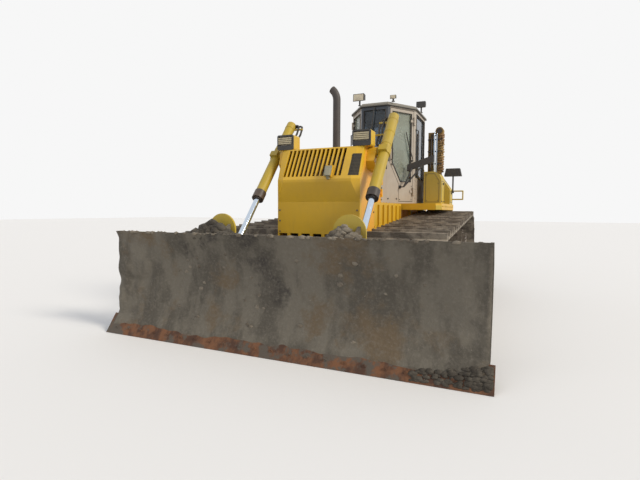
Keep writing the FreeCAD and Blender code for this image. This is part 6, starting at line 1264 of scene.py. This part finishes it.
def buildMastDress():
    bm = bmesh.new()
    y = rearLook["mastY"]
    for x, radius in ((0.755, 0.017), (0.80, 0.013)):
        addSweep(bm, [(x, y + 0.05, 2.06), (x, y, 2.10), (x, y, 2.78), (x + 0.01, y + 0.02, 2.84),
                      (x + 0.02, y + 0.06, 2.86)], radius, 12)
    finishPiece("mastPipes", bm, "chromeRod", smooth=True)
    bm = bmesh.new()
    steps = rearLook["coilTurns"] * rearLook["coilSteps"]
    points = []
    for number in range(steps + 1):
        bend = 2 * math.pi * number / rearLook["coilSteps"]
        wobble = 0.012 * noise.noise(Vector((number * 0.13, 1.7, 4.2)))
        points.append((0.865 + (0.046 + wobble) * math.cos(bend), 2.2213 + (0.052 + wobble) * math.sin(bend),
                       2.12 + rearLook["coilHeight"] * number / steps))
    addSweep(bm, points, rearLook["coilRadius"], 7)
    for number in range(rearLook["mastClods"]):
        addLump(bm, (0.90 + rng.uniform(-0.02, 0.02), 2.20 + rng.uniform(-0.05, 0.05), 2.2 + 0.045 * number),
                rng.uniform(0.018, 0.032), (0.8, 0.9, 1.2), 1)
    finishPiece("mastHose", bm, "ruddyHose", smooth=True)
    bm = bmesh.new()
    addSweep(bm, [(0.70, y + 0.03, 2.07), (0.69, y - 0.005, 2.2), (0.705, y - 0.01, 2.5), (0.70, y, 2.72),
                  (0.715, y + 0.05, 2.84)], 0.014)
    for z in (2.25, 2.48, 2.70):
        addBox(bm, (0.635, y + 0.004, z), (0.90, y + 0.026, z + 0.02), 0.003)
    addBar(bm, (0.844, y - 0.01, 2.863), (0.844, y + 0.002, 2.863), 0.05, 28)
    finishPiece("mastStraps", bm, "darkPipe")


def buildTankDress():
    bm = bmesh.new()
    front, rear, high = machine["tankFrontY"], machine["tankRearY"], machine["tankTop"]
    half = rearLook["strapWidth"] / 2
    slopeDown, slopeBack = 0.123, 0.088
    for x in (-0.33, 0.33):
        addBox(bm, (x - half, front + 0.01, high), (x + half, rear - 0.085, high + 0.004), 0.001)
        addBox(bm, (x - half, rear, 1.22), (x + half, rear + 0.004, high - 0.125), 0.001)
        addBlock(bm, (x, rear - slopeBack / 2, high - slopeDown / 2),
                 (half, math.hypot(slopeDown, slopeBack) / 2, 0.002), 0.001,
                 Matrix.Rotation(-math.atan2(slopeDown, slopeBack), 4, "X"))
        for side in (-0.02, 0.02):
            addBar(bm, (x + side, rear + 0.004, 1.30), (x + side, rear + 0.028, 1.30), 0.012, 8)
    finishPiece("tankStraps", bm, "darkTrim")
    bm = bmesh.new()
    x, y = -0.42, rear + 0.05
    addSweep(bm, [(x, rear, 1.42), (x, y, 1.44), (x, y, 1.86), (x, rear, 1.88)], 0.011, 10)
    x, y, back = 0.52, front + 0.06, rear - 0.12
    addSweep(bm, [(x, y, high), (x, y, high + 0.05), (x, back, high + 0.05), (x, back, high)], 0.010, 10)
    for x in (-0.52, 0.52):
        for z in (1.2, 1.5, 1.8):
            addBolt(bm, (x, rear, z), (0, 1, 0), 0.010, 0.007)
    for across, along in ringSpots(rearLook["capBolts"], 0.05):
        addBolt(bm, (0.28 + across, front + 0.11 + along, high + 0.034), (0, 0, 1), 0.006, 0.005)
    finishPiece("tankFittings", bm, "fadedPaint")


def buildLampGlasses():
    bm = bmesh.new()
    for sign in (-1, 1):
        for x in (1.035, 1.165):
            addBlock(bm, (sign * x, 2.3015, 2.095), (0.048, 0.0035, 0.04), 0.006)
    finishPiece("tailGlasses", bm, "lampLens")
    bm = bmesh.new()
    # X and Y of a roof lamp, its share of the largest one, its foot over the roof
    for x, y, share, rise in ((-0.300, 0.94, 1.0, 0.062), (0.295, 0.872, 0.5, 0.038),
                              (0.56, 1.86, 0.85, 0.088)):
        half, high, deep = 0.085 * share, 0.125 * share, 0.092 * share
        middle = Vector((x, y - deep * 0.95 - 0.003, machine["cabRoof"] + rise + high / 2))
        lean = math.atan2(0.1 * deep, high)
        if y > machine["cabCornerY"]:  # the rear lamp looks back
            middle.y, lean = y + 0.003, 0.0
        addBlock(bm, middle, (half, 0.002, high * 0.42), 0.0015, Matrix.Rotation(-lean, 4, "X"))
    finishPiece("roofGlasses", bm, "lampLens")


def buildPlatformBolts():
    # corner plates, bolts and tread bars of the fenders, and the main frame's bolts
    bm = bmesh.new()
    high, outer = machine["cabFloor"], machine["fenderOuter"]
    for sign in (-1, 1):
        addBlock(bm, (sign * (outer - 0.042), machine["fenderFrontY"] + 0.042, high - 0.066),
                 (0.058, 0.004, 0.036), 0.002, Matrix.Rotation(math.radians(45 * sign), 4, "Z"))
        for number in range(9):
            y = 1.0 + 0.165 * number
            addBolt(bm, (sign * (outer - 0.018), y, high), (0, 0, 1), rearLook["boltRadius"], 0.007)
            addBolt(bm, (sign * outer, y, high - 0.045), (sign, 0, 0), 0.010, 0.007)
        for column in range(7):
            for row in range(5):
                addBlock(bm, (sign * (0.72 + 0.055 * column), 0.98 + 0.1 * row, high + 0.0015),
                         (0.014, 0.004, 0.0015), 0.001)
    finishPiece("platformBolts", bm, "fadedPaint")
    bm = bmesh.new()
    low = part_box("main_frame")[0].z
    for x in (-0.36, -0.12, 0.12, 0.36):
        for number in range(8):
            addBolt(bm, (x, -0.9 + 0.4 * number, low), (0, 0, -1), 0.013, 0.009)
    for sign in (-1, 1):
        for number in range(9):
            for z in (0.52, 1.04):
                addBolt(bm, (sign * 0.45, -1.3 + 0.42 * number, z), (sign, 0, 0), 0.012, 0.009)
    finishPiece("frameBolts", bm, "wornSteel")


def buildRearFlaps():
    bm = bmesh.new()
    rear, high = machine["fenderRearY"] - 0.014, machine["cabFloor"] - 0.104
    for sign in (-1, 1):
        addSideBox(bm, sign, (0.6, machine["fenderOuter"] - 0.006), (rear - 0.012, rear),
                   (rearLook["flapLow"], high + 0.02), 0.002)
        for number in range(4):
            addBolt(bm, (sign * (0.66 + 0.12 * number), rear, high + 0.004), (0, 1, 0), 0.011, 0.007)
    finishPiece("rearFlaps", bm, "rubberHose")


def buildRearPin():
    bm = bmesh.new()
    low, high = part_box("drawbar")
    y, top = high.y - 0.095, high.z + 0.07
    addBar(bm, (0, y, low.z - 0.05), (0, y, top), 0.026, 24)
    addBar(bm, (0, y, top), (0, y, top + 0.015), 0.045, 24, 0.04)
    ring = ((0, 0.013), (0.02, 0.06), (0, 0.08), (-0.02, 0.06))
    addSweep(bm, [(x, y, top + up) for x, up in ring], 0.006, 8, True)
    addBar(bm, (-0.04, y, low.z - 0.035), (0.045, y, low.z - 0.035), 0.006, 10)
    finishPiece("drawbarPin", bm, "wornSteel")


buildBoxFittings()
buildMastDress()
buildTankDress()
buildLampGlasses()
buildPlatformBolts()
buildRearFlaps()
buildRearPin()
print("platform and rear dressed")


# Studio: floor, lights and camera

studio = {"floor": (0.80, 0.79, 0.77, 1), "backdrop": (0.93, 0.93, 0.93, 1), "skyTone": (0.90, 0.93, 1.0, 1),
          "fill": 0.62, "size": 60, "floorDrop": 0.001,
          # name, strength, colour, size in degrees, way it is turned
          "suns": (("keyLight", 2.5, (1.0, 0.93, 0.82), 18, (57, 0, 84)),
                   ("fillLight", 0.35, (0.92, 0.95, 1.0), 40, (50, 0, -30)))}
cameraLook = {"place": (2.0845, -6.0947, 1.3726), "lens": 24.02, "sensor": 36, "turn": 23.896, "down": 3.910,
              "roll": 0.281}


def buildStudio():
    bm = bmesh.new()
    bmesh.ops.create_grid(bm, x_segments=1, y_segments=1, size=studio["size"])
    floor = newPiece("floor", bm)
    floor.location.z = -studio["floorDrop"]
    setShader(newMaterial("floorPaint")[0], Base_Color=studio["floor"], Roughness=0.9)
    floor.data.materials.append(materials["floorPaint"])
    # the backdrop shows to the camera and in mirrors, and the softer sky tone lights the machine
    world = bpy.data.worlds.new("studio")
    bpy.context.scene.world = world
    world.use_nodes = True
    tree = world.node_tree
    light, shown = tree.nodes["Background"], tree.nodes.new("ShaderNodeBackground")
    light.inputs[0].default_value = studio["skyTone"]
    light.inputs[1].default_value = studio["fill"]
    shown.inputs[0].default_value = studio["backdrop"]
    rays = addNode(tree, "LightPath").outputs
    bent = plus(tree, rays["Is Glossy Ray"], rays["Is Transmission Ray"])
    mix = tree.nodes.new("ShaderNodeMixShader")
    for index, socket in enumerate((plus(tree, rays["Is Camera Ray"], bent, True), light.outputs[0],
                                    shown.outputs[0])):
        tree.links.new(socket, mix.inputs[index])
    tree.links.new(mix.outputs[0], tree.nodes["World Output"].inputs[0])
    for name, energy, colour, angle, turn in studio["suns"]:
        lamp = bpy.data.lights.new(name, "SUN")
        lamp.energy = energy
        lamp.color = colour
        lamp.angle = math.radians(angle)
        item = bpy.data.objects.new(name, lamp)
        item.rotation_euler = [math.radians(value) for value in turn]
        bpy.context.collection.objects.link(item)


def buildCamera():
    data = bpy.data.cameras.new("camera")
    data.lens = cameraLook["lens"]
    data.sensor_width = cameraLook["sensor"]
    camera = bpy.data.objects.new("camera", data)
    turns = ((cameraLook["turn"], "Z"), (90 - cameraLook["down"], "X"), (cameraLook["roll"], "Z"))
    camera.matrix_world = Matrix.Translation(cameraLook["place"])
    for angle, axis in turns:
        camera.matrix_world = camera.matrix_world @ Matrix.Rotation(math.radians(angle), 4, axis)
    bpy.context.collection.objects.link(camera)
    bpy.context.scene.camera = camera


buildStudio()
buildCamera()
bpy.context.scene.view_settings.view_transform = "Standard"
print("studio ready")
